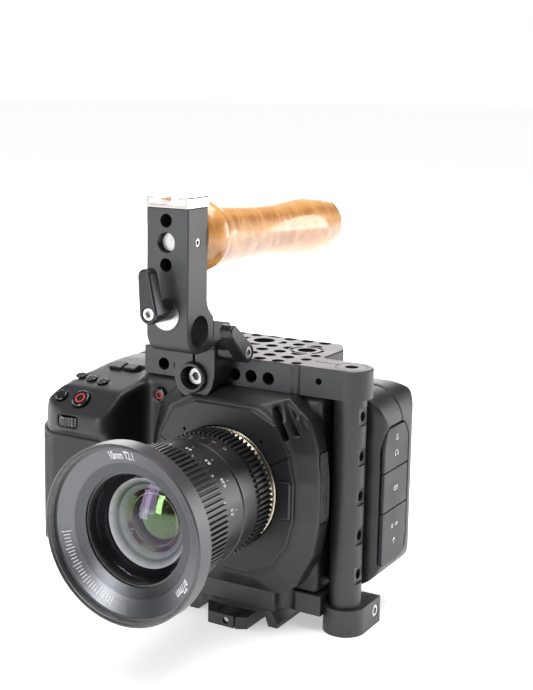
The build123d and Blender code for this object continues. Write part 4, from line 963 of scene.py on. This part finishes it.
class RIG_OT_door_marks(bpy.types.Operator):
    """Prints plain connector signs on the port doors"""

    bl_idname = "rig.door_marks"
    bl_label = "Door marks"

    @staticmethod
    def stroke(path, width=0.34):
        """A printed line along a path of (along, up) points, as flat quads."""
        quads = []
        for (a, b), (c, d) in zip(path, path[1:]):
            length = math.hypot(c - a, d - b)
            across = ((b - d) / length * width / 2, (c - a) / length * width / 2)
            quads.append([(a + across[0], b + across[1]), (a - across[0], b - across[1]),
                          (c - across[0], d - across[1]), (c + across[0], d + across[1])])
        return quads

    def arc(self, u, v, radius, start, end, steps=10):
        turns = [math.radians(start + (end - start) * i / steps) for i in range(steps + 1)]
        return self.stroke([(u + radius * math.cos(t), v + radius * math.sin(t)) for t in turns])

    def execute(self, context):
        signs = {
            "port_door_upper": [
                *self.arc(0, 5.4, 0.75, 0, 360), *self.stroke([(0, 4.2), (0, 3.0)]), *self.arc(0, 4.9, 1.5,
                                                                                               200, 340),
                *self.arc(0, -3.2, 1.5, 0, 180), *self.stroke([(-1.5, -3.2), (-1.5, -4.6)], 0.7),
                *self.stroke([(1.5, -3.2), (1.5, -4.6)], 0.7)],
            "port_door_middle": [
                *self.stroke([(-2.2, 0.9), (2.2, 0.9), (2.2, -0.2), (1.5, -0.9), (-1.5, -0.9), (-2.2, -0.2),
                              (-2.2, 0.9)]), *self.stroke([(-1.4, 0.2), (1.4, 0.2)])],
            "port_door_lower": [
                *self.arc(-2.6, 4.4, 1.0, 0, 360), *self.stroke([(-3.2, 4.4), (-2.0, 4.4)]),
                *self.stroke([(1.2, 4.9), (3.8, 4.9), (3.8, 3.9), (1.2, 3.9), (1.2, 4.9)]),
                *self.stroke([(-1.4, -3.4), (0, -2.2), (1.4, -3.4)]), *self.stroke([(0, -2.3), (0, -5.2)])],
        }
        for door, quads in signs.items():
            low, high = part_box(door)
            middle = (low + high) / 2
            points, faces = [], []
            for quad in quads:
                start = len(points)
                for lift in (-0.02, 0.03):
                    points += [Vector((high.x + lift * MM, middle.y + u * MM, middle.z + v * MM)) for u,
                               v in quad]
                faces += [tuple(start + i for i in face) for face in BLOCK_FACES]
            new_piece(door + "_signs", points, faces, "marks", door, smooth=False)
        return {"FINISHED"}


class RIG_OT_stage(bpy.types.Operator):
    """Sets the floor, the lights and the camera"""

    bl_idname = "rig.stage"
    bl_label = "Stage"

    AZIMUTH, ELEVATION, ROLL = 31.32, 9.62, -0.65
    FOCAL_LENGTH, SENSOR = 66.98, 36.0
    SHIFT = (0.0732, -0.0596)
    CAMERA_PLACE = (302.9, -505.1, 188.0)
    SKY_ANGLE, SKY_TILT = math.radians(80), (math.radians(14), math.radians(-10), 0)
    # Each soft light's name, place, aim, width and height, power setting and share of it, and colour.
    LIGHTS = (
        ("overhead", (0.15, 0.05, 1.30), (0, -0.02, 0.08), (1.1, 0.9), "key_watts", 1.0, (1.0, 0.975, 0.99)),
        ("back_wall", (-0.95, 1.45, 0.62), (-0.02, 0.02, 0.10), (1.7, 0.9), "side_watts", 1.5, (1.0, 0.97,
                                                                                                0.985)),
        ("right_back", (1.00, 1.15, 0.30), (0.04, 0.0, 0.08), (0.8, 0.9), "side_watts", 0.75, (1.0, 0.955,
                                                                                               0.985)),
        ("left_side", (-1.30, -0.35, 0.50), (-0.03, -0.04, 0.08), (0.35, 1.0), "side_watts", 0.4, (0.96,
                                                                                                   0.985, 1.0)),
        ("front_window", (-0.34, -1.28, 0.36), (0, -0.10, 0.06), (0.26, 0.72), "side_watts", 0.62, (0.97,
                                                                                                    0.99, 1.0)),
    )
    FLOOR_SPOKES, FLOOR_RINGS, FLOOR_FIRST_RING, FLOOR_GROWTH = 48, 10, 0.3, 1.6
    FLOOR_GLOW = 0.42

    def execute(self, context):
        stage = setting("stage")
        self.make_camera(context)
        self.make_floor(stage)
        self.make_room(context, stage)
        sky = bpy.data.lights.new("soft_sky", "SUN")
        sky.energy, sky.angle = stage.sky_strength, self.SKY_ANGLE
        sky_holder = bpy.data.objects.new("soft_sky", sky)
        sky_holder.rotation_euler = self.SKY_TILT
        sky_holder.visible_glossy = False
        context.scene.collection.objects.link(sky_holder)
        for name, place, aim, size, power, share, shade in self.LIGHTS:
            light = bpy.data.lights.new(name, "AREA")
            light.shape = "RECTANGLE"
            light.size, light.size_y = size
            light.energy = getattr(stage, power) * share
            light.color = shade
            holder = bpy.data.objects.new(name, light)
            holder.location = place
            holder.visible_camera = False
            holder.rotation_euler = (Vector(aim) - Vector(place)).to_track_quat("-Z", "Y").to_euler()
            context.scene.collection.objects.link(holder)
        return {"FINISHED"}

    def make_camera(self, context):
        azimuth, elevation, roll = (math.radians(v) for v in (self.AZIMUTH, self.ELEVATION, self.ROLL))
        back = Vector((math.sin(azimuth) * math.cos(elevation), -math.cos(azimuth) * math.cos(elevation),
                       math.sin(elevation)))
        right = (-back).cross(Vector((0, 0, 1))).normalized()
        down = (-back).cross(right)
        turned_right = right * math.cos(roll) + down * math.sin(roll)
        turned_down = down * math.cos(roll) - right * math.sin(roll)
        lens = bpy.data.cameras.new("main_camera")
        lens.lens, lens.sensor_width = self.FOCAL_LENGTH, self.SENSOR
        lens.shift_x, lens.shift_y = self.SHIFT
        lens.clip_start, lens.clip_end = 0.01, 60
        holder = bpy.data.objects.new("main_camera", lens)
        turn = Matrix((turned_right, -turned_down, back)).transposed()
        holder.matrix_world = Matrix.Translation(at(*self.CAMERA_PLACE)) @ turn.to_4x4()
        context.scene.collection.objects.link(holder)
        context.scene.camera = holder
        context.scene.view_settings.view_transform = "Standard"

    def make_floor(self, stage):
        """A wide pale floor in rings that widen outward."""
        height, spokes = (STANDING_HEIGHT + AXIS_HEIGHT) * MM, self.FLOOR_SPOKES
        turns = [2 * math.pi * i / spokes for i in range(spokes)]
        points = [(0, 0, height)]
        for ring in range(self.FLOOR_RINGS):
            radius = self.FLOOR_FIRST_RING * self.FLOOR_GROWTH ** ring
            points += [(radius * math.cos(turn), radius * math.sin(turn), height) for turn in turns]
        faces = [(0, 1 + i, 1 + (i + 1) % spokes) for i in range(spokes)]
        for ring in range(self.FLOOR_RINGS - 1):
            inner, outer = 1 + ring * spokes, 1 + (ring + 1) * spokes
            faces += [(inner + i, outer + i, outer + (i + 1) % spokes, inner + (i + 1) % spokes)
                      for i in range(spokes)]
        mesh = bpy.data.meshes.new("floor")
        mesh.from_pydata(points, [], faces)
        floor = bpy.data.objects.new("floor", mesh)
        bpy.context.scene.collection.objects.link(floor)
        material, tree, shader = new_material("Floor paper")
        soft = tree.spread(tree.noise(tree.place(), 14, 3), 0.3, 0.7)
        pale = tuple(stage.floor)
        tree.feed(shader.inputs["Base Color"], tree.mix(soft, [v * 0.985 for v in pale], pale))
        tree.feed(shader.inputs["Roughness"], tree.spread(soft, 0, 1, 0.85, 0.95))
        shader.inputs["Emission Color"].default_value = (1.0, 1.0, 1.0, 1.0)
        shader.inputs["Emission Strength"].default_value = self.FLOOR_GLOW
        floor.data.materials.append(material)

    @staticmethod
    def make_room(context, stage):
        """A white room to look at, and a dimmer one for the surfaces to reflect."""
        world = bpy.data.worlds.new("Studio")
        world.use_nodes = True
        context.scene.world = world
        tree = Tree(world.node_tree)
        seen = tree.add("ShaderNodeLightPath").outputs["Is Camera Ray"]
        shade = tree.mix(seen, (stage.room, stage.room, stage.room * 1.04), (1.0, 1.0, 1.0))
        tree.feed(world.node_tree.nodes["Background"].inputs["Color"], shade)


PIECES = (RIG_OT_camera_shells, RIG_OT_grip_rubber, RIG_OT_frame_finishes, RIG_OT_record_rings,
          RIG_OT_grilles,
          RIG_OT_lens_marks, RIG_OT_door_marks, RIG_OT_stage)


class RIG_PT_finish(bpy.types.Panel):
    """The rig's settings and the steps that build it"""

    bl_idname = "RIG_PT_finish"
    bl_label = "Camera Rig"
    bl_space_type = "VIEW_3D"
    bl_region_type = "UI"
    bl_category = "Camera Rig"

    def draw(self, context):
        for group in SETTINGS:
            box = self.layout.box()
            box.label(text=group.replace("_", " ").capitalize())
            for name in SETTINGS[group].__annotations__:
                box.prop(setting(group), name)
        for piece in PIECES:
            self.layout.operator(piece.bl_idname)


CLASSES = (*SETTINGS.values(), *PIECES, RIG_PT_finish)


def register():
    for item in CLASSES:
        bpy.utils.register_class(item)
    for group, kind in SETTINGS.items():
        setattr(bpy.types.Scene, "rig_" + group, PointerProperty(type=kind))


def unregister():
    for group in SETTINGS:
        delattr(bpy.types.Scene, "rig_" + group)
    for item in reversed(CLASSES):
        bpy.utils.unregister_class(item)


def main():
    register()
    for piece in PIECES:
        family, name = piece.bl_idname.split(".")
        getattr(getattr(bpy.ops, family), name)()


if __name__ == "__main__":
    main()
